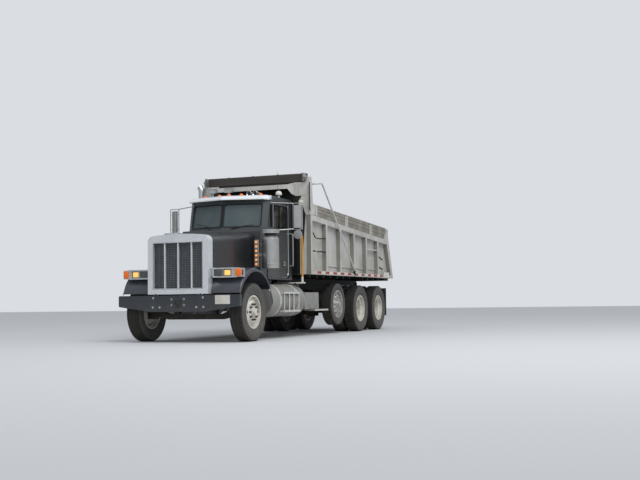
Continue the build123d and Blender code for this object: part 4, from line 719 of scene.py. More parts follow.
# %% [markdown]
# ## Headlamps
# Each pod is a chrome housing with two square lamps side by side. The outer one is lit, the inner one is
# off, and a moulded amber lens wraps round the pod's outer end. A lamp could be lit by a real light inside,
# but a small bulb takes long to render without grain, so the lit reflector glows by itself.

# %% Headlamp bezels and lenses
for side, sign in SIDES:
    mesh = bmesh.new()
    block(mesh, at(-560, sign * 640, 1286), at(-590, sign * 1060, 1314), 0.006)
    block(mesh, at(-560, sign * 640, 1138), at(-590, sign * 1060, 1164), 0.006)
    for start, end in ((640, 668), (838, 852), (1006, 1060)):
        block(mesh, at(-560, sign * start, 1150), at(-588, sign * end, 1300), 0.005)
    keep(f"lamp_bezel_{side}", mesh, "hood", chrome)
    for name, start, end in (("low", 852, 1006), ("high", 668, 838)):
        mesh = bmesh.new()
        block(mesh, at(-572, sign * start, 1164), at(-577, sign * end, 1286))
        if name == "high":
            ball(mesh, at(-576, sign * (start + end) / 2, 1225), 0.048, flat=(0.2, 1, 1), sides=24)
        keep(f"lamp_{name}_{side}", mesh, "hood", dark_lamp, smooth=True)
    mesh = bmesh.new()
    block(mesh, at(-577, sign * 872, 1180), at(-580, sign * 986, 1270), 0.0012)
    ball(mesh, at(-578, sign * 929, 1225), 0.034, flat=(0.22, 1, 1), sides=24)
    keep(f"lamp_glow_{side}", mesh, "hood", warm_lamp)
    mesh = bmesh.new()
    block(mesh, at(-470, sign * 1062, 1150), at(-582, sign * 1197, 1302), 0.030)
    keep(f"turn_lens_{side}", mesh, "hood", amber_lens, smooth=True)
tell()


# %% [markdown]
# ## Tubes along a line
# Seals, mouldings and grab rails are tubes bent along a line. A row of short bars would show its joints, so
# the line is drawn as a smooth curve with a round section, and is then turned into a mesh like any piece.

# %% One function for bent tubes
def pipe(name, places, radius, body, finish, closed=False):
    """A bent tube along a few places: a smooth curve with a round section, made a mesh."""
    curve = bpy.data.curves.new(name, "CURVE")
    curve.dimensions = "3D"
    curve.bevel_depth = radius
    curve.bevel_resolution = 2
    curve.resolution_u = 6
    curve.use_fill_caps = True
    line = curve.splines.new("NURBS")
    line.points.add(len(places) - 1)
    for point, spot in zip(line.points, places):
        point.co = (*spot, 1.0)
    line.order_u = 3
    line.use_endpoint_u = not closed
    line.use_cyclic_u = closed
    rod = bpy.data.objects.new(name + "_line", curve)
    bpy.context.scene.collection.objects.link(rod)
    data = bpy.data.meshes.new_from_object(rod.evaluated_get(bpy.context.evaluated_depsgraph_get()))
    bpy.data.objects.remove(rod)
    mesh = bmesh.new()
    mesh.from_mesh(data)
    bmesh.ops.remove_doubles(mesh, verts=list(mesh.verts), dist=1e-5)
    return keep(name, mesh, body, finish, smooth=True)


# %% [markdown]
# ## Hood and fenders
# The hood is one fibreglass moulding that tips forward. What breaks its smooth sides is small: a rubber
# latch at each rear corner, and the rolled lip of the wheel arch, which is a tube that follows the arch's
# circle through places found by sine and cosine.

# %% Hood latches and fender lips
ARCH_R = 731                      # radius of the arch's lip
for side, sign in SIDES:
    mesh = bmesh.new()
    block(mesh, at(905, sign * 716, 1330), at(935, sign * 730, 1430), 0.004)
    block(mesh, at(900, sign * 724, 1420), at(940, sign * 738, 1442), 0.004)
    keep(f"hood_latch_{side}", mesh, "hood", black_plastic)
    lip = []
    for step in range(29):
        turn = math.radians(26 + step * 5.1)
        lip.append(at(55 - ARCH_R * math.cos(turn), sign * 1186, 530 + ARCH_R * math.sin(turn)))
    pipe(f"arch_lip_{side}", lip, 0.0065, "hood", fender_paint)
tell()


# %% [markdown]
# ## Seals round the glass
# Each pane sits in a black rubber seal, an outline with rounded corners. The windshield's two panes lean
# back and meet in a shallow V. They could be drawn flat and turned afterwards, but it is safer to work out
# each place on that slope at once, lifted off it a little, so that nothing has to be turned by hand.

# %% Rounded outlines, and places on the windshield
def softened(corners, radius, steps=4):
    """A closed outline whose corners are swept round."""
    places = []
    for before, corner, after in zip(corners[-1:] + corners[:-1], corners, corners[1:] + corners[:1]):
        start = corner + (before - corner).normalized() * radius
        end = corner + (after - corner).normalized() * radius
        for step in range(steps + 1):
            t = step / steps
            places.append(start * (1 - t) ** 2 + corner * 2 * t * (1 - t) + end * t * t)
    return places


def on_shield(sign, share, z, proud=0.0):
    """A place on the windshield: a share of the way to the corner pillar, this far proud of it."""
    lift = 0.949 * proud
    return at(1010 + 198 * share + 0.21 * (z - 2120) - lift, sign * (765 * share + 0.259 * lift),
              z + 0.21 * lift)


print("the windshield's foot meets the pillar at", [round(v, 3) for v in on_shield(1, 1.0, 2120)])

# %% Rubber round every pane
DOOR_Y = 852                      # the door's outer face
PANE = ((0.03, 2160), (0.976, 2160), (0.976, 2610), (0.03, 2610))
WINDOW = ((1580, 2152), (2285, 2152), (2285, 2603), (1580, 2603))
VENT = ((1341, 2152), (1540, 2152), (1540, 2603), (1436, 2603))
for side, sign in SIDES:
    pane = softened([on_shield(sign, share, z, 2) for share, z in PANE], 0.045)
    pipe(f"shield_seal_{side}", pane, 0.010, "chassis", flap_rubber, closed=True)
    window = softened([at(back, sign * DOOR_Y, z) for back, z in WINDOW], 0.045)
    pipe(f"window_seal_{side}", window, 0.008, f"door_{side}", flap_rubber, closed=True)
    vent = softened([at(back, sign * DOOR_Y, z) for back, z in VENT], 0.025)
    pipe(f"vent_seal_{side}", vent, 0.007, f"door_{side}", flap_rubber, closed=True)
rear = [at(2480, y, z) for y, z in ((-450, 2150), (450, 2150), (450, 2510), (-450, 2510))]
pipe("rear_window_seal", softened(rear, 0.045), 0.010, "chassis", flap_rubber, closed=True)
divider = [on_shield(1, 0.0, z, 5) for z in (2150, 2380, 2620)]
pipe("shield_divider", divider, 0.013, "chassis", flap_rubber)
tell()

# %% [markdown]
# ## Wipers
# Two arms are hung from the cowl. Each is a thin black rod, thicker at its spindle, with a blade that lies
# on the glass. On the real truck the arm is bent and sprung, which nobody sees from outside, so two
# straight bars, laid on the windshield's own slope, do for each.

# %% Wiper arms and blades
# side, spindle, and both ends of the blade, as shares of the way to the pillar and heights
WIPERS = (("right", -1, (0.32, 2108), ((0.32, 2150), (0.86, 2262))),
          ("left", 1, (0.24, 2108), ((0.24, 2128), (0.80, 2196))))
for side, sign, foot, ends in WIPERS:
    mesh = bmesh.new()
    spindle = on_shield(sign, *foot, 8)
    bar(mesh, on_shield(sign, *foot, -12), on_shield(sign, *foot, 22), 0.016, 0.012)
    middle = on_shield(sign, sum(share for share, z in ends) / 2, sum(z for share, z in ends) / 2, 20)
    bar(mesh, spindle, middle, 0.007, 0.004, sides=8)
    start, end = (on_shield(sign, share, z, 4) for share, z in ends)
    bar(mesh, start, end, 0.006, sides=6)
    start, end = (on_shield(sign, share, z, 15) for share, z in ends)
    bar(mesh, start + (end - start) * 0.15, end + (start - end) * 0.15, 0.005, sides=6)
    keep(f"wiper_{side}", mesh, "chassis", black_plastic, smooth=True)
tell()

# %% [markdown]
# ## Door trim
# A bright moulding runs down the door's rear edge and turns forward round its lower corner, a pressed crease
# runs below the window, and a polished bar parts the window from the vent. All three follow the door when
# it opens, so they ride on it, while the grab rail behind it is fixed to the cab.

# %% Mouldings, creases, vent bars and grab rails
MOULDING = ((2297, 2640), (2297, 2200), (2297, 1400), (2294, 1280), (2255, 1215), (2180, 1184), (2080, 1182),
            (1990, 1182))
GRAB_RAIL = ((850, 1420), (905, 1420), (915, 1440), (915, 2050), (905, 2070), (850, 2070))
for side, sign in SIDES:
    edge = [at(back, sign * DOOR_Y, z) for back, z in MOULDING]
    pipe(f"door_moulding_{side}", edge, 0.007, f"door_{side}", chrome)
    crease = [at(back, sign * DOOR_Y, 2095) for back in (1325, 1800, 2280)]
    pipe(f"belt_line_{side}", crease, 0.006, f"door_{side}", cab_paint)
    mesh = bmesh.new()
    block(mesh, at(1552, sign * 846, 2150), at(1568, sign * 859, 2606), 0.003)
    keep(f"vent_bar_{side}", mesh, f"door_{side}", chrome)
    rail = [at(2395, sign * y, z) for y, z in GRAB_RAIL]
    pipe(f"grab_rail_{side}", rail, 0.015, "chassis", stainless)
tell()

# %% [markdown]
# ## Door handles
# The handle is a chrome pull in a dark dish, with the lock's button between its bars. It could be modelled
# as one bent strap, but the shadow under it is what shows, so four softened blocks stand off the dish.

# %% Dishes, pulls and locks
for side, sign in SIDES:
    outer = sign * DOOR_Y
    mesh = bmesh.new()
    block(mesh, at(2000, outer, 1402), at(2152, outer + sign * 4, 1512), 0.003)
    keep(f"handle_dish_{side}", mesh, f"door_{side}", black_plastic)
    mesh = bmesh.new()
    for z in (1412, 1472):
        block(mesh, at(2020, outer + sign * 12, z), at(2132, outer + sign * 26, z + 28), 0.005)
    for back in (2030, 2122):
        block(mesh, at(back - 12, outer, 1412), at(back + 12, outer + sign * 24, 1500), 0.003)
    bar(mesh, at(2076, outer, 1456), at(2076, outer + sign * 10, 1456), 0.011)
    keep(f"door_handle_{side}", mesh, f"door_{side}", chrome, smooth=True)
tell()

# %% [markdown]
# ## Roof lamps
# Five amber domes stand on chrome bases along the windshield's V, and behind them two work lamps look
# forward. The solid model has their bases and housings. A dome is a ball that is sunk halfway into its
# base, which needs no cutting, and a work lamp gets a pane with a rim of four thin blocks.

# %% Amber domes and work lamps
mesh = bmesh.new()
for y in (-612, -240, 0, 240, 612):
    ball(mesh, at(1358 + abs(y) * 0.2588, y, 2796), 0.0435, sides=20)
keep("roof_domes", mesh, "chassis", amber_lens, smooth=True)

WORK_LAMPS = (-460, -100)
RIM = (((-85, 2880), (85, 2891)), ((-85, 2964), (85, 2975)), ((-85, 2880), (-75, 2975)),
       ((75, 2880), (85, 2975)))
mesh = bmesh.new()
for y in WORK_LAMPS:
    block(mesh, at(1529, y - 74, 2892), at(1526, y + 74, 2963))
keep("work_lamp_lenses", mesh, "chassis", clear_lens)
mesh = bmesh.new()
for y in WORK_LAMPS:
    for start, end in RIM:
        block(mesh, at(1534, y + start[0], start[1]), at(1518, y + end[0], end[1]), 0.002)
keep("work_lamp_rims", mesh, "chassis", bright_steel)
tell()

# %% [markdown]
# ## Horns, dome and aerial
# Two air horns lie on the driver's half, and beside them stand a satellite dome on its stalk and a whip
# aerial. A horn's bell is in the solid model. Its throat would need a deep cut, so a black disc is painted
# shade for the dark inside, with a rolled lip, spun from a small outline, round it.

# %% Horn mouths
HORNS = ((370, 1500), (490, 1520))
LIP = ((0.041, -0.004), (0.050, -0.010), (0.055, -0.004), (0.052, 0.006), (0.044, 0.012), (0.041, -0.004))
mesh = bmesh.new()
# painted shade: a black disc in each bell's mouth
for y, front in HORNS:
    bar(mesh, at(front - 1, y, 2840), at(front, y, 2840), 0.040, sides=24)
keep("horn_throat_shade", mesh, "chassis", black_plastic)
mesh = bmesh.new()
for y, front in HORNS:
    turned(mesh, LIP, at(front, y, 2840), (-1, 0, 0), steps=24)
keep("horn_lips", mesh, "chassis", chrome, smooth=True)
tell()

# %% Satellite dome and whip aerial
DOME = ((0.0, 0.075), (0.03, 0.071), (0.052, 0.055), (0.063, 0.03), (0.066, 0.0), (0.06, -0.012),
        (0.0, -0.014))
mesh = bmesh.new()
bar(mesh, at(2060, 760, 2775), at(2060, 760, 2850), 0.022)
turned(mesh, DOME, at(2060, 760, 2850), (0, 0, 1), steps=28)
keep("satellite_dome", mesh, "chassis", white_paint, smooth=True)
mesh = bmesh.new()
bar(mesh, at(2140, 700, 2778), at(2140, 700, 2830), 0.016, 0.010)
bar(mesh, at(2140, 700, 2830), at(2160, 700, 3320), 0.004, 0.0025, sides=8)
keep("whip_aerial", mesh, "chassis", black_plastic, smooth=True)
tell()

# %% [markdown]
# ## Mirrors
# The solid heads have the real outline and are turned towards the driver, each by its own angle. Looking
# back, each gets its glass in a thin black frame, and the round spot mirror below gets a slightly domed
# one. Glass and frame are made square to the axes and then turned with the head, because a bevel is only
# even on a block that isn't skewed.

# %% Mirror glass
SPOT = ((0.0, 0.008), (0.04, 0.0065), (0.07, 0.003), (0.078, 0.0), (0.0, 0.0))
# name, finish, slot, and how deep and half as wide and high it is
SHEETS = (("frame", black_plastic, "dash_plastic", (0.0225, 0.079, 0.219)),
          ("glass", mirror_glass, "mirror_steel", (0.024, 0.071, 0.211)))
for side, sign, turn in (("left", 1, 17), ("right", -1, -30)):
    put = Matrix.Translation(at(1600, sign * 1360, 2350)) @ Matrix.Rotation(math.radians(turn), 4, "Z")
    for name, finish, slot, (deep, half_wide, half_high) in SHEETS:
        mesh = bmesh.new()
        block(mesh, (-deep, -half_wide, -half_high), (-0.020, half_wide, half_high), 0.0008)
        bmesh.ops.transform(mesh, matrix=put, verts=mesh.verts)
        keep(f"mirror_{name}_{side}", mesh, f"door_{side}", finish)
    mesh = bmesh.new()
    turned(mesh, SPOT, at(1615, sign * 1360, 2000), (-1, 0, 0), steps=32)
    keep(f"spot_glass_{side}", mesh, f"door_{side}", mirror_glass, smooth=True)
tell()


# %% [markdown]
# ## Air cleaners
# Each air cleaner is a rolled drum with bands near its ends, a lapped seam and a dark screened gap under
# its hat. A band is a flat ring with eased edges. It could be a bevelled cylinder, but spinning its small
# outline gives the ring, the hole and the eased edges at once, and tanks and stack wear the same bands.

# %% Bands, seams and screens
def band(mesh, inner, outer, half, flat, centre, axis, steps=48):
    """A ring round an axis: half its width at the foot, flat where its edges are eased."""
    outline = ((inner, -half), (outer, -flat), (outer, flat), (inner, half), (inner, -half))
    turned(mesh, outline, centre, axis, steps)


SCREEN = ((0.100, 1.945), (0.109, 1.945), (0.109, 1.998), (0.100, 1.998), (0.100, 1.945))
for side, sign in SIDES:
    centre = at(990, sign * 1052, 0)
    mesh = bmesh.new()
    for z, radius in ((1350, 166), (1420, 164.5), (1845, 164.5), (1885, 166), (2003, 171), (2060, 171)):
        edge = radius * MM
        band(mesh, edge - 0.006, edge, 0.007, 0.004, centre + Vector((0, 0, z * MM)), (0, 0, 1))
    block(mesh, at(1140, sign * 1125, 1335), at(1156, sign * 1131, 1893))
    keep(f"cleaner_bands_{side}", mesh, "chassis", chrome, smooth=True)
    mesh = bmesh.new()
    turned(mesh, SCREEN, centre, (0, 0, 1), steps=48)
    keep(f"cleaner_screen_{side}", mesh, "chassis", black_plastic, smooth=True)
tell()

# %% [markdown]
# ## Cowl lamps
# Beside each cleaner six small amber lamps stand in a row, and they are lit. A flattened ball makes the
# lens, and it glows more strongly than the turn lens does, because each is only four centimetres wide.

# %% Lit cowl lamps
amber_lit = glassy("lit_amber_lens", "FF8A1E", rough=0.3, glow=1.1)
for side, sign in SIDES:
    mesh = bmesh.new()
    for number in range(6):
        ball(mesh, at(574, sign * 945, 1403 + 82 * number), 0.021, flat=(0.35, 1, 1), sides=16)
    keep(f"cowl_lamps_{side}", mesh, "chassis", amber_lit, smooth=True)
tell()

# %% [markdown]
# ## Fuel tanks
# The tanks are rolled aluminium with pressed ends, a welded seam near each and a filler whose black cap
# leans out of the top. The drums themselves are solids. The cap is put on along the neck's own lean, worked
# out by sine and cosine, and the seams are bands just proud of the drum.

# %% Filler caps and tank seams
TANK_Y, TANK_Z = 880, 730         # the tank's middle
LEAN = math.radians(35)           # the filler's neck leans out
for side, sign in SIDES:
    mesh = bmesh.new()
    neck = at(2140, sign * TANK_Y, TANK_Z)
    lean = Vector((0, sign * math.sin(LEAN), math.cos(LEAN)))
    bar(mesh, neck + lean * 0.352, neck + lean * 0.385, 0.056, 0.054, sides=24)
    keep(f"filler_cap_{side}", mesh, "chassis", black_plastic, smooth=True)
    mesh = bmesh.new()
    for back in (812, 2328):
        band(mesh, 0.307, 0.315, 0.005, 0.003, at(back, sign * TANK_Y, TANK_Z), (1, 0, 0), steps=64)
    for back in (1130, 2010):
        for z in (840, 640):
            bar(mesh, at(back, sign * 1188, z), at(back, sign * 1202, z), 0.016, 0.012, sides=12)
    keep(f"tank_seams_{side}", mesh, "chassis", bright_steel, smooth=True)
tell()

# %% [markdown]
# ## Steps
# The steps beside the tank are open treads, so that mud falls through: rows of short bars between two
# edges, with four uprights. They could be one plate with holes cut into it, but many small blocks side by
# side give the same comb without a cut that might fail.

# %% Treads, uprights and the rail under the tool box
for side, sign in SIDES:
    mesh = bmesh.new()
    for step_z, front, rear in ((505, 1240, 2050), (855, 1240, 2010)):
        for back in range(front + 22, rear - 10, 26):
            block(mesh, at(back, sign * 1116, step_z + 29), at(back + 7, sign * 1210, step_z + 37), 0.001)
        block(mesh, at(front, sign * 1207, step_z - 2), at(rear, sign * 1216, step_z + 36), 0.002)
    for front, rear in ((1262, 1290), (1500, 1540), (1720, 1760), (1976, 2004)):
        block(mesh, at(front, sign * 1196, 535), at(rear, sign * 1206, 858), 0.002)
    block(mesh, at(2760, sign * 1222, 506), at(3520, sign * 1232, 542), 0.002)
    keep(f"step_treads_{side}", mesh, "chassis", step_aluminium)
tell()

# %% [markdown]
# ## Tool boxes
# A tool box is folded sheet with a lid on its outer side, two latches and a hinge along its foot. The lid
# is a sheet laid on the solid box: its edge casts the thin shadow that a cut seam would.

# %% Lids, latches and hinges
for side, sign in SIDES:
    mesh = bmesh.new()
    block(mesh, at(2424, sign * 1149, 556), at(3166, sign * 1153, 868), 0.0015)
    keep(f"box_lid_{side}", mesh, "chassis", dull_aluminium)
    mesh = bmesh.new()
    for back in (2600, 2990):
        block(mesh, at(back - 35, sign * 1152, 780), at(back + 35, sign * 1158, 840), 0.002)
        block(mesh, at(back - 22, sign * 1156, 795), at(back + 22, sign * 1162, 822), 0.002)
    bar(mesh, at(2440, sign * 1152, 556), at(3150, sign * 1152, 556), 0.006, sides=10)
    keep(f"box_latches_{side}", mesh, "chassis", bright_steel)
tell()

# %% [markdown]
# ## Marker pole
# Behind the driver's door a pole stands in front of the body: a white foot, a yellow length that marks the
# truck's corner, then a black one with a white box lamp on top. The colours change along one tube, which a
# pattern by height could do, but the real pole is put together from lengths, and so is this one.

# %% Pole, foot, top and lamp
POLE_BACK, POLE_Y = 2475, 1080
mesh = bmesh.new()
bar(mesh, at(POLE_BACK, POLE_Y, 1200), at(POLE_BACK, POLE_Y, 2030), 0.022, sides=20)
keep("marker_pole", mesh, "chassis", pole_paint, smooth=True)
mesh = bmesh.new()
bar(mesh, at(POLE_BACK, POLE_Y, 1090), at(POLE_BACK, POLE_Y, 1200), 0.024, sides=20)
block(mesh, at(POLE_BACK - 40, 430, 1062), at(POLE_BACK + 40, 1130, 1092), 0.004)
keep("pole_foot", mesh, "chassis", white_paint, smooth=True)
mesh = bmesh.new()
bar(mesh, at(POLE_BACK, POLE_Y, 2030), at(POLE_BACK, POLE_Y, 2655), 0.019, sides=20)
for z in (2120, 2330, 2560):
    block(mesh, at(POLE_BACK - 25, 1056, z), at(POLE_BACK + 25, 1104, z + 26), 0.003)
keep("pole_top", mesh, "chassis", black_plastic, smooth=True)
mesh = bmesh.new()
block(mesh, at(2428, 1034, 2652), at(2512, 1108, 2756), 0.010)
keep("pole_lamp", mesh, "chassis", white_paint, smooth=True)
tell()

# %% [markdown]
# ## Stack clamps
# Clamps hold the muffler and its guard at five heights, and a smaller one holds the pipe above. They are
# the same eased bands as on the air cleaners, wider and thicker.

# %% Clamps
STACK = at(2440, -1190, 0)        # the stack's middle, on the ground
mesh = bmesh.new()
for z in (1330, 1590, 1850, 2110, 2340):
    band(mesh, 0.108, 0.114, 0.012, 0.010, STACK + Vector((0, 0, z * MM)), (0, 0, 1), steps=40)
band(mesh, 0.060, 0.068, 0.02, 0.016, STACK + Vector((0, 0, 2.41)), (0, 0, 1), steps=32)
keep("stack_clamps", mesh, "chassis", bright_steel, smooth=True)
tell()

# %% [markdown]
# ## Muffler guard
# A perforated guard wraps the muffler, so that nobody burns a hand on it. Cutting hundreds of holes would
# be slow and would ask for a second wall behind them. Seen from a few metres a hole is only a dark round
# spot of shade, so small black discs of painted shade are set into the guard, every second row turned by half
# a step.

# %% Rows of holes
ROWS, HOLES = 24, 16
# painted shade: black discs stand for the shade seen through the guard's holes
mesh = bmesh.new()
for row in range(ROWS):
    for step in range(HOLES):
        turn = math.tau * (step + 0.5 * (row % 2)) / HOLES
        way = Vector((math.cos(turn), math.sin(turn), 0))
        spot = STACK + way * 0.1095 + Vector((0, 0, 1.365 + row * 0.041))
        bar(mesh, spot - way * 0.004, spot + way * 0.0015, 0.009, sides=6)
keep("guard_hole_shade", mesh, "chassis", black_plastic)
tell()


# %% [markdown]
# ## Tipping body
# The body's fittings are small but busy, and most of them follow two slopes: the top rail falls towards the
# rear, and the rear end leans forward as it rises. Both are lines on the drawing, so two small functions
# give the place on them, and no fitting needs a height of its own.

# %% The body's slopes
SHEET_Y = 1121                    # outer face of the side sheet
RIB_Y = 1220                      # outer face of the ribs, the sill and the rail
BODY_FOOT = 1254                  # height of the body's underside
STAKES = (4790, 6470)             # the stakes that hold the side boards


def rail_top(back):
    """Height of the side rail's top."""
    return 2475 - 275 * (back - 2616) / 5164


def rear_edge(z):
    """How far back the body's rear edge lies at a height."""
    return 8110 - 330 * (z - BODY_FOOT) / 946


print("the rail falls from", rail_top(2616), "to", rail_top(7780), "mm")

# %% [markdown]
# ## Reflective tape
# Red and white tape runs along the sill so that the truck is seen at night. A pattern on the sill's finish
# could draw it, but tape has an edge and lies on the paint, so each length is a thin block, and the two
# colours are two pieces, each with its own finish. The white plate at the rear foot is made the same way.

# %% Tape and rear foot plates
TAPE_LENGTH, TAPE_PITCH = 226, 460
for side, sign in SIDES:
    outer = sign * RIB_Y
    for name, finish, first in (("red", red_tape, 2960), ("white", white_tape, 3190)):
        mesh = bmesh.new()
        for back in range(first, 7190, TAPE_PITCH):
            block(mesh, at(back, outer, 1274), at(back + TAPE_LENGTH, outer + sign * 1.2, 1322))
        keep(f"{name}_tape_{side}", mesh, "bed", finish)
    mesh = bmesh.new()
    block(mesh, at(7425, outer, 1262), at(7830, outer + sign * 3, 1394), 0.001)
    keep(f"rear_foot_plate_{side}", mesh, "bed", white_paint)
tell()

# %% [markdown]
# ## Rods along the sheet
# Thin bright rods run from rib to rib near the floor, each with a clip in its middle, and a flat bar lies
# higher up in the fifth bay. One long rod through all the ribs would look the same, but short ones that stop
# at each rib leave the solid ribs alone.

# %% Rods, clips and flat bar
for side, sign in SIDES:
    mesh = bmesh.new()
    for start, end in ((3568, 4322), (4418, 5212), (5308, 6062), (6158, 6932)):
        middle = (start + end) / 2
        bar(mesh, at(start, sign * 1136, 1462), at(end, sign * 1136, 1446), 0.013, sides=10)
        block(mesh, at(middle - 14, sign * SHEET_Y, 1440), at(middle + 14, sign * 1139, 1468), 0.002)
    block(mesh, at(6160, sign * 1150, 1902), at(6930, sign * 1206, 1930), 0.003)
    keep(f"side_rods_{side}", mesh, "bed", step_aluminium)
tell()


# %% [markdown]
# ## Rungs, gusset and brace
# In the first bay there are two rungs for climbing, a small gusset and a bent brace, and near the rear two
# slanting rods with a knob at their end. Straight round bar gives nearly all of it, and only the brace is a
# tube along a line. The gusset is cut plate with three corners, which no block can give, so its outline is
# drawn and pushed out.

# %% Cut plate
def plate(mesh, outline, thickness):
    """A flat plate: an outline of places, pushed out along a thickness."""
    face = mesh.faces.new([mesh.verts.new(place) for place in outline])
    pushed = bmesh.ops.extrude_face_region(mesh, geom=[face])["geom"]
    moved = [part for part in pushed if isinstance(part, bmesh.types.BMVert)]
    bmesh.ops.translate(mesh, verts=moved, vec=thickness)
    bmesh.ops.recalc_face_normals(mesh, faces=list(mesh.faces))


# %% Rungs, gusset, slanting rods and brace
RUNG_Z = 1735
BRACE = ((2800, 2110), (2880, 2035), (2990, 2000), (3280, 2010), (3550, 2030))
for side, sign in SIDES:
    mesh = bmesh.new()
    for start, end in ((2700, 2900), (3190, 3480)):
        bar(mesh, at(start, sign * 1206, RUNG_Z), at(end, sign * 1206, RUNG_Z), 0.014, sides=12)
        for back in (start, end):
            bar(mesh, at(back, sign * 1119, RUNG_Z), at(back, sign * 1206, RUNG_Z), 0.012, sides=12)
    gusset = [at(back, sign * SHEET_Y, z) for back, z in ((2722, 1345), (2965, 1345), (2722, 1420))]
    plate(mesh, gusset, (0, sign * 0.003, 0))
    for start, end in (((7124, 1824), (7560, 1715)), ((7154, 1543), (7560, 1480))):
        bar(mesh, at(start[0], sign * 1132, start[1]), at(end[0], sign * 1132, end[1]), 0.010, sides=10)
        ball(mesh, at(end[0], sign * 1132, end[1]), 0.018, sides=10)
    keep(f"rungs_{side}", mesh, "bed", flap_rubber, smooth=True)
    brace = [at(back, sign * 1196, z) for back, z in BRACE]
    pipe(f"tarp_brace_{side}", brace, 0.012, "bed", flap_rubber)
tell()

# %% [markdown]
# ## Plates and bolts
# Painted plates cover the headboard's shoulder and the place where the side boards start. Bolts hold the
# boards' stakes and run down the rear edge in a row. A bolt's head could be drawn with its thread and its
# washer, but it is only two centimetres wide, so a short cone with six sides does.

# %% Shoulder and board plates
for side, sign in SIDES:
    mesh = bmesh.new()
    block(mesh, at(2617, sign * 882, 2868), at(2611, sign * 1110, 3146), 0.001)
    keep(f"headboard_shoulder_{side}", mesh, "bed", body_paint)
    mesh = bmesh.new()
    block(mesh, at(2783, sign * 1200, 2478), at(3035, sign * 1205, 2700), 0.0015)
    keep(f"board_plate_{side}", mesh, "bed", body_paint)
tell()

# %% Bolts of the board plate, the stakes and the rear edge
STAKE_FALL = 0.035                # how far the bolts come down for each millimetre towards the rear
for side, sign in SIDES:
    mesh = bmesh.new()
    for back, z in ((2830, 2520), (2990, 2520), (2830, 2660), (2990, 2660)):
        bar(mesh, at(back, sign * 1205, z), at(back, sign * 1212, z), 0.011, 0.009, sides=6)
    for stake in STAKES:
        for z in (2360, 2430, 2500):
            fallen = z - (stake - STAKES[0]) * STAKE_FALL
            bar(mesh, at(stake, sign * 1215, fallen), at(stake, sign * 1219.5, fallen), 0.010, 0.008, sides=6)
    for share in (0.1, 0.25, 0.4, 0.55, 0.7, 0.85):
        z = 1340 + 850 * share
        spot = rear_edge(z) - 48
        bar(mesh, at(spot, sign * RIB_Y, z), at(spot, sign * (RIB_Y + 3), z), 0.011, 0.009, sides=6)
    keep(f"body_bolts_{side}", mesh, "bed", bright_steel)
tell()

# %% [markdown]
# ## Welds on the ribs
# A bead of weld runs down both edges of each rib, from the sill to the rail. A weld could be drawn with a
# bump on the sheet's finish, but a thin six-sided bar catches the light along its whole length, and it ends
# where the rail starts.

# %% Weld beads
RIBS = (2666, 3520, 4370, 5260, 6110, 6980)
for side, sign in SIDES:
    mesh = bmesh.new()
    for rib in RIBS:
        top = rail_top(rib) - 112
        for edge in (-49, 49):
            bar(mesh, at(rib + edge, sign * 1122, 1336), at(rib + edge, sign * 1122, top), 0.005, sides=6)
    keep(f"rib_welds_{side}", mesh, "bed", body_paint, smooth=True)
tell()

# %% [markdown]
# ## Stakes and corner post
# The stakes that hold the boards have wide covers, and behind each a dark line shows where the next board
# starts. Two lines run down the front corner post, held by three clamps. The dark line could be a groove cut
# into the board, but the solid stays whole, so a thin black block lies on it instead.

# %% Stake covers and board gaps
for side, sign in SIDES:
    mesh = bmesh.new()
    dark = bmesh.new()
    for stake in STAKES:
        top = rail_top(stake)
        block(mesh, at(stake - 70, sign * 1199, top - 30), at(stake + 70, sign * 1213, top + 236), 0.003)
        block(dark, at(stake + 70, sign * 1199, top - 4), at(stake + 92, sign * 1202, top + 228))
    keep(f"stake_covers_{side}", mesh, "bed", body_paint)
    keep(f"board_gaps_{side}", dark, "bed", flap_rubber)
tell()

# %% Strip, lines and clamps on the corner post
for side, sign in SIDES:
    mesh = bmesh.new()
    block(mesh, at(2546, sign * 1219, 2560), at(2606, sign * 1222, 3130), 0.001)
    for back, radius in ((2632, 0.012), (2668, 0.014)):
        bar(mesh, at(back, sign * 1196, 2480), at(back, sign * 1196, 3100), radius, sides=12)
    keep(f"post_lines_{side}", mesh, "bed", black_plastic, smooth=True)
    mesh = bmesh.new()
    for z in (2600, 2820, 3060):
        block(mesh, at(2600, sign * 1180, z), at(2690, sign * 1214, z + 34), 0.003)
    keep(f"post_clamps_{side}", mesh, "bed", bright_steel)
tell()

# %% [markdown]
# ## Side boards
# Each side is boarded with sawn planks, one above the other. The solid board is one sheet. A groove could be
# cut where the planks meet, but the solid stays whole, so dark rods as thin as a pencil are laid along both
# of its faces. They fall towards the rear as the board does.

# %% Plank gaps
BOARD_FRONT = (2478, 2708)        # foot and top of the board at its front end
BOARD_REAR = (2212, 2500)         # the same at its rear end
for side, sign in SIDES:
    mesh = bmesh.new()
    for y in (1149.2, 1199.2):
        for share in (0.36, 0.70):
            front = BOARD_FRONT[0] - 9 + (BOARD_FRONT[1] - BOARD_FRONT[0]) * share
            rear = BOARD_REAR[0] + (BOARD_REAR[1] - BOARD_REAR[0]) * share
            back = 8060 - 330 * share - 230
            bar(mesh, at(2784, sign * y, front), at(back, sign * y, rear), 0.0035, sides=6)
    keep(f"plank_gaps_{side}", mesh, "bed", flap_rubber)
tell()

# %% [markdown]
# ## Tarp gear
# The rolled tarp lies in its housing over the headboard, and its shaft shows at both ends. The arms that
# pull the sheet back carry coil springs at their pivots. A coil could be swept along a helix, but at this
# size five rings side by side look the same and can't cross each other.

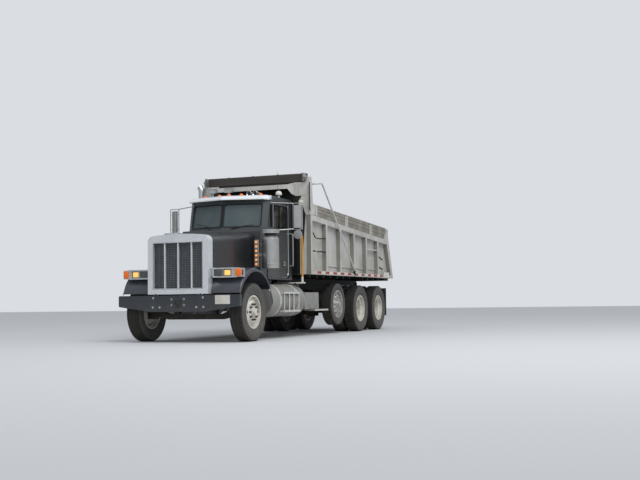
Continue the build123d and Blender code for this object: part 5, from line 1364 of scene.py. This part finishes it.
# %% Housing straps and shaft ends
mesh = bmesh.new()
for y in (-1106, -560, 0, 560, 1106):
    block(mesh, at(2472, y - 14, 3170), at(2475.5, y + 14, 3318), 0.001)
block(mesh, at(2470, -1108, 3152), at(2476, 1108, 3168), 0.002)
keep("housing_straps", mesh, "bed", housing_paint)
mesh = bmesh.new()
for sign in (-1, 1):
    bar(mesh, at(2546, sign * 1112, 3240), at(2546, sign * 1150, 3240), 0.055, sides=28)
    bar(mesh, at(2546, sign * 1150, 3240), at(2546, sign * 1185, 3240), 0.022, sides=16)
    block(mesh, at(2470, sign * 1112, 3155), at(2622, sign * 1118, 3325), 0.003)
keep("tarp_shaft_ends", mesh, "bed", dull_aluminium, smooth=True)
tell()

# %% Springs at the arms' pivots
for side, sign in SIDES:
    mesh = bmesh.new()
    for step in range(5):
        centre = at(5170, sign * (1250 + 9 * step), 1350)
        band(mesh, 0.050, 0.056, 0.004, 0.004, centre, (0, 1, 0), steps=32)
    keep(f"arm_spring_{side}", mesh, "tarp_arms", axle_iron, smooth=True)
tell()


# %% [markdown]
# ## Tailgate
# The gate hangs from its top corners, so what is fixed to it must ride on it and lie on its sloped face.
# Tape runs across its foot and red lamps sit at both ends of its middle rail. The face's place is measured
# on the solid gate, and the tape is a plate drawn on that slope, because a block would stand off it.

# %% Tailgate tape and lamps
HALF_GATE = 60                    # half the gate's thickness
low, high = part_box("tailgate")
gate_start = (STEER_X - low.x) / MM - rear_edge(BODY_FOOT) - HALF_GATE
print("the middle of the gate lies", round(gate_start), "mm behind the body's rear edge")


def on_gate(y, z, out):
    """A place on the tailgate, out millimetres behind the middle of its thickness."""
    return at(rear_edge(z) + gate_start + out, y, z)


for name, finish, first in (("red", red_tape, -1060), ("white", white_tape, -760)):
    mesh = bmesh.new()
    for y in range(first, 1000, 600):
        corners = ((y, 1276), (y + 280, 1276), (y + 280, 1326), (y, 1326))
        plate(mesh, [on_gate(across, z, HALF_GATE) for across, z in corners], (-0.001, 0, 0))
    keep(f"gate_tape_{name}", mesh, "tailgate", finish)
mesh = bmesh.new()
for sign in (-1, 1):
    for y in (1010, 1110):
        centre = on_gate(sign * y, 1810, 58)
        bar(mesh, centre, centre + Vector((-0.006, 0, 0)), 0.040, 0.037, sides=24)
keep("gate_lamps", mesh, "tailgate", red_lens, smooth=True)
tell()

# %% [markdown]
# ## Under the truck
# What shows between the wheels is iron and black paint: brake chambers just ahead of the driven axles, and
# air tanks along the frame. Both are pressed cans, round with domed ends. A cylinder with a bevel would keep
# its flat ends, so the outline of each is drawn and spun.

# %% Brake chambers
CHAMBER = ((0.0, -0.085), (0.055, -0.08), (0.075, -0.05), (0.08, -0.006), (0.088, -0.004), (0.088, 0.006),
           (0.08, 0.008), (0.075, 0.05), (0.055, 0.085), (0.0, 0.09))
mesh = bmesh.new()
for axle_x in sorted({round(wheel_centre[axle, "left"].x, 4) for axle in ("drive1", "drive2")}):
    for sign in (-1, 1):
        spot = Vector((axle_x + 0.20, sign * 0.42, 0.56))
        turned(mesh, CHAMBER, spot, (1, 0, 0), steps=24)
        bar(mesh, spot, Vector((axle_x + 0.02, sign * 0.42, 0.55)), 0.018, sides=12)
keep("brake_chambers", mesh, "chassis", axle_iron, smooth=True)
tell()

# %% Air tanks
REAR_TANK = 4740
# how far back, across and up a pair stands, and half its length in metres
AIR_TANKS = ((3650, 300, 860, 0.17), (4050, 300, 860, 0.17), (REAR_TANK, 542, 785, 0.22))
mesh = bmesh.new()
for back, y, z, half in AIR_TANKS:
    can = ((0.0, -half), (0.05, 0.005 - half), (0.09, 0.03 - half), (0.105, 0.07 - half),
           (0.105, half - 0.07), (0.09, half - 0.03), (0.05, half - 0.005), (0.0, half))
    for sign in (-1, 1):
        turned(mesh, can, at(back, sign * y, z), (1, 0, 0), steps=28)
for shift in (-110, 110):         # the hangers of the rear pair, out from the rails
    for sign in (-1, 1):
        bar(mesh, at(REAR_TANK + shift, sign * 426, 889), at(REAR_TANK + shift, sign * 560, 889), 0.012,
            sides=12)
keep("air_tanks", mesh, "chassis", frame_paint, smooth=True)
tell()

# %% [markdown]
# ## Mud flaps
# The flaps hang by a row of bolts, and their rubber is a solid already. A bolt could go right through it,
# but nothing of it shows besides its two heads, so each is a pair of flat discs, one on each face.

# %% Flap bolts
mesh = bmesh.new()
for back, head in ((7612, -4), (7628, 4)):
    for sign in (-1, 1):
        for y in (660, 790, 920, 1050, 1160):
            bar(mesh, at(back, sign * y, 955), at(back + head, sign * y, 955), 0.011, sides=8)
keep("flap_bolts", mesh, "chassis", bright_steel)
tell()


# %% [markdown]
# ## Seats
# Each seat has a foam base and back in woven cloth. Foam under cloth is never flat: it crowns in the middle
# and its sides pull in towards the corners, which a bevelled block doesn't show. So each cushion starts as
# a plain, slightly small block, is remeshed evenly and is blown up a little by Blender's cloth, with the
# rise capped at about a centimetre, because a free bag would swell into a ball.

# %% A plain cushion with even faces
VOXEL = 0.008                     # width of the faces that the cloth is worked out on, in metres
RISE = 0.012                      # a cushion swells no further than this
PRESSURE = 4.0
LAST_FRAME = 20                   # the cushion has come to rest by then


def plain_cushion(name, outline, half):
    """A soft-edged block about y 0 from its side outline in millimetres, remeshed evenly."""
    mesh = bmesh.new()
    plate(mesh, [at(back, -half, z) for back, z in outline], (0, 2 * half * MM, 0))
    bmesh.ops.bevel(mesh, geom=mesh.edges[:], offset=0.03, affect="EDGES", segments=3, profile=0.5,
                    material=-1)
    data = bpy.data.meshes.new(name)
    mesh.to_mesh(data)
    mesh.free()
    piece = bpy.data.objects.new(name + "_start", data)
    bpy.context.scene.collection.objects.link(piece)
    even = piece.modifiers.new("even", "REMESH")
    even.mode = "VOXEL"
    even.voxel_size = VOXEL
    start = bpy.data.meshes.new_from_object(piece.evaluated_get(bpy.context.evaluated_depsgraph_get()))
    piece.modifiers.clear()
    piece.data = start
    return piece


# %% Blown up by the cloth solver
def swell(piece):
    """Blows a cushion up by pressure, without gravity, and caps how far each place moves."""
    scene = bpy.context.scene
    rest = [vert.co.copy() for vert in piece.data.vertices]
    cloth = piece.modifiers.new("cloth", "CLOTH")
    cloth.settings.use_pressure = True
    cloth.settings.uniform_pressure_force = PRESSURE
    cloth.settings.effector_weights.gravity = 0.0
    cloth.settings.quality = 5
    cloth.point_cache.frame_start = 1
    cloth.point_cache.frame_end = LAST_FRAME
    for number in range(1, LAST_FRAME + 1):
        scene.frame_set(number)
    swollen = bpy.data.meshes.new_from_object(piece.evaluated_get(bpy.context.evaluated_depsgraph_get()))
    scene.frame_set(1)
    piece.modifiers.clear()
    for vert, moved in zip(piece.data.vertices, swollen.vertices):
        step = moved.co - rest[vert.index]
        vert.co = rest[vert.index] + (step * (RISE / step.length) if step.length > RISE else step)


def cushion(name, outline, half):
    piece = plain_cushion(name, outline, half)
    swell(piece)
    shape = piece.data
    bpy.data.objects.remove(piece)
    print(name, "has", len(shape.polygons), "faces")
    return shape


base_shape = cushion("seat_base", ((2210, 1524), (1826, 1524), (1813, 1606), (2182, 1622)), 222)
back_shape = cushion("seat_back", ((2222, 1660), (2272, 2284), (2342, 2284), (2308, 1600)), 222)

# %% [markdown]
# ## Seats in place
# Both seats could have cushions of their own, which would take twice as long to swell and look the same. So
# one base and one back are copied to both sides. A pan of moulded plastic closes each seat from below and
# behind.

# %% Two seats
SEAT_Y = 450
SHELL = ((2300, 1505), (2325, 1580), (2358, 2280), (2340, 2280), (2306, 1590), (2280, 1505))
for side, sign in SIDES:
    move = Matrix.Translation((0, sign * SEAT_Y * MM, 0))
    for part, shape in (("base", base_shape), ("back", back_shape)):
        mesh = bmesh.new()
        placed(mesh, shape, move)
        piece = keep(f"seat_{part}_{side}", mesh, "chassis", seat_cloth, smooth=True)
        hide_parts("seats")
    middle = sign * SEAT_Y
    mesh = bmesh.new()
    block(mesh, at(1830, middle - 225, 1501), at(2300, middle + 225, 1526), 0.004)
    plate(mesh, [at(back, middle - 215, z) for back, z in SHELL], (0, 0.43, 0))
    pan = keep(f"seat_pan_{side}", mesh, "chassis", black_plastic)
    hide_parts("seats")
tell()

# %% [markdown]
# ## Inside the cab
# Through the glass little shows besides the seats: the bright rims of four gauges on the dashboard, and a
# rubber mat on the floor. A rim could be a ring round a dial with its needle, but behind dark glass a flat
# bright disc reads the same, and the mat is a plain block.

# %% Gauges and floor mat
mesh = bmesh.new()
for y in (300, 400, 500, 600):
    bar(mesh, at(1421, y, 1965), at(1426, y, 1962), 0.036, sides=24)
keep("gauge_rims", mesh, "chassis", chrome, smooth=True)
mesh = bmesh.new()
block(mesh, at(1340, -770, 1190), at(1800, 770, 1196), 0.002)
keep("floor_mat", mesh, "chassis", flap_rubber)
tell()

# %% [markdown]
# ## Floor
# The truck stands on a plain pale floor, large enough that its edge is the horizon. A backdrop that curves
# up behind the truck would hide the horizon, but here it helps the eye to judge how low the camera is. The
# floor is no part of the truck.

# %% A wide plain floor
ground = bmesh.new()
bmesh.ops.create_grid(ground, x_segments=1, y_segments=1, size=60.0)
data = bpy.data.meshes.new("floor")
ground.to_mesh(data)
ground.free()
floor = bpy.data.objects.new("floor", data)
bpy.context.scene.collection.objects.link(floor)
pale = bpy.data.materials.new("pale_floor")
pale.use_nodes = True
pale.node_tree.nodes["Principled BSDF"].inputs["Base Color"].default_value = tint("C2C3C4")
pale.node_tree.nodes["Principled BSDF"].inputs["Roughness"].default_value = 0.9
data.materials.append(pale)
print("the floor is", round(floor.dimensions.x), "m wide")

# %% [markdown]
# ## Sky
# The light is even and overcast, as under thin cloud. A single sky colour would make every rounded piece
# look flat, so the sky is darker near the horizon and a little brighter ahead of the truck on the driver's
# side: rounded metal then shows a light and a dark edge. What the camera sees behind the truck is one plain
# colour, which the light path node parts from the light.

# %% World
world = bpy.data.worlds.new("overcast")
bpy.context.scene.world = world
world.use_nodes = True
sky = world.node_tree
sky.nodes.clear()
ray = add(sky, "ShaderNodeLightPath")
direction = add(sky, "ShaderNodeTexCoord").outputs["Generated"]
rise = add(sky, "ShaderNodeSeparateXYZ", {"Vector": direction}).outputs["Z"]
upper = stretch(sky, rise, -0.1, 0.9, 0.55, 1.2)
toward = add(sky, "ShaderNodeVectorMath", {0: direction, 1: (0.5, 0.86, 0.1)}, operation="DOT_PRODUCT")
thin = stretch(sky, toward.outputs["Value"], -0.6, 1.0, 0.72, 1.2)
power = add(sky, "ShaderNodeMath", {0: upper, 1: thin}, operation="MULTIPLY").outputs[0]
glow = add(sky, "ShaderNodeBackground", {"Color": tint("E4E8EE"), "Strength": power}).outputs["Background"]
plain = add(sky, "ShaderNodeBackground", {"Color": tint("DADDE2"), "Strength": 1.0}).outputs["Background"]
mixed = add(sky, "ShaderNodeMixShader", {0: ray.outputs["Is Camera Ray"], 1: glow, 2: plain})
add(sky, "ShaderNodeOutputWorld", {"Surface": mixed.outputs["Shader"]})
print("the sky has", len(sky.nodes), "nodes")

# %% [markdown]
# ## Lamp
# The sky alone casts no shadow with a side to it. One wide lamp high ahead on the driver's side gives the
# shadow under the truck a soft direction. It is nine metres across, since a smaller one would draw hard
# edges that an overcast day doesn't have.

# %% One soft lamp
LAMP_PLACE, LAMP_AIM = Vector((9.0, 9.0, 14.0)), Vector((0.0, 0.0, 1.2))
light = bpy.data.lights.new("cloud_light", "AREA")
light.shape = "SQUARE"
light.size = 9.0
light.energy = 1500
cloud = bpy.data.objects.new("cloud_light", light)
bpy.context.scene.collection.objects.link(cloud)
cloud.location = LAMP_PLACE
cloud.rotation_euler = (LAMP_AIM - LAMP_PLACE).to_track_quat("-Z", "Y").to_euler()
print("the lamp gives", light.energy, "W")

# %% [markdown]
# ## Camera
# The camera stands low, far ahead and on the driver's side, with a long lens. It could be aimed at a target,
# but a camera in the hand is also held at a slight slant, so its three turns are given by themselves and its
# axes are worked out from them.

# %% Camera
YAW, PITCH, ROLL = 0.3751, 0.0603, -0.0133
AHEAD, ASIDE, ABOVE = 16.349, 8.887, 0.712
look = Vector((-math.cos(YAW) * math.cos(PITCH), -math.sin(YAW) * math.cos(PITCH), math.sin(PITCH)))
right = look.cross(Vector((0, 0, 1))).normalized()
up = right.cross(look)
right, up = (right * math.cos(ROLL) + up * math.sin(ROLL)), (up * math.cos(ROLL) - right * math.sin(ROLL))
view = bpy.data.cameras.new("camera")
view.sensor_width = 36.0
view.lens = 56.55
view.clip_end = 200.0
camera = bpy.data.objects.new("camera", view)
bpy.context.scene.collection.objects.link(camera)
camera.matrix_world = Matrix.Translation((STEER_X + AHEAD, ASIDE, ABOVE)) @ Matrix(
    (right, up, -look)).transposed().to_4x4()
bpy.context.scene.camera = camera
bpy.context.scene.view_settings.view_transform = "Standard"
print("the camera looks along", [round(v, 3) for v in look])
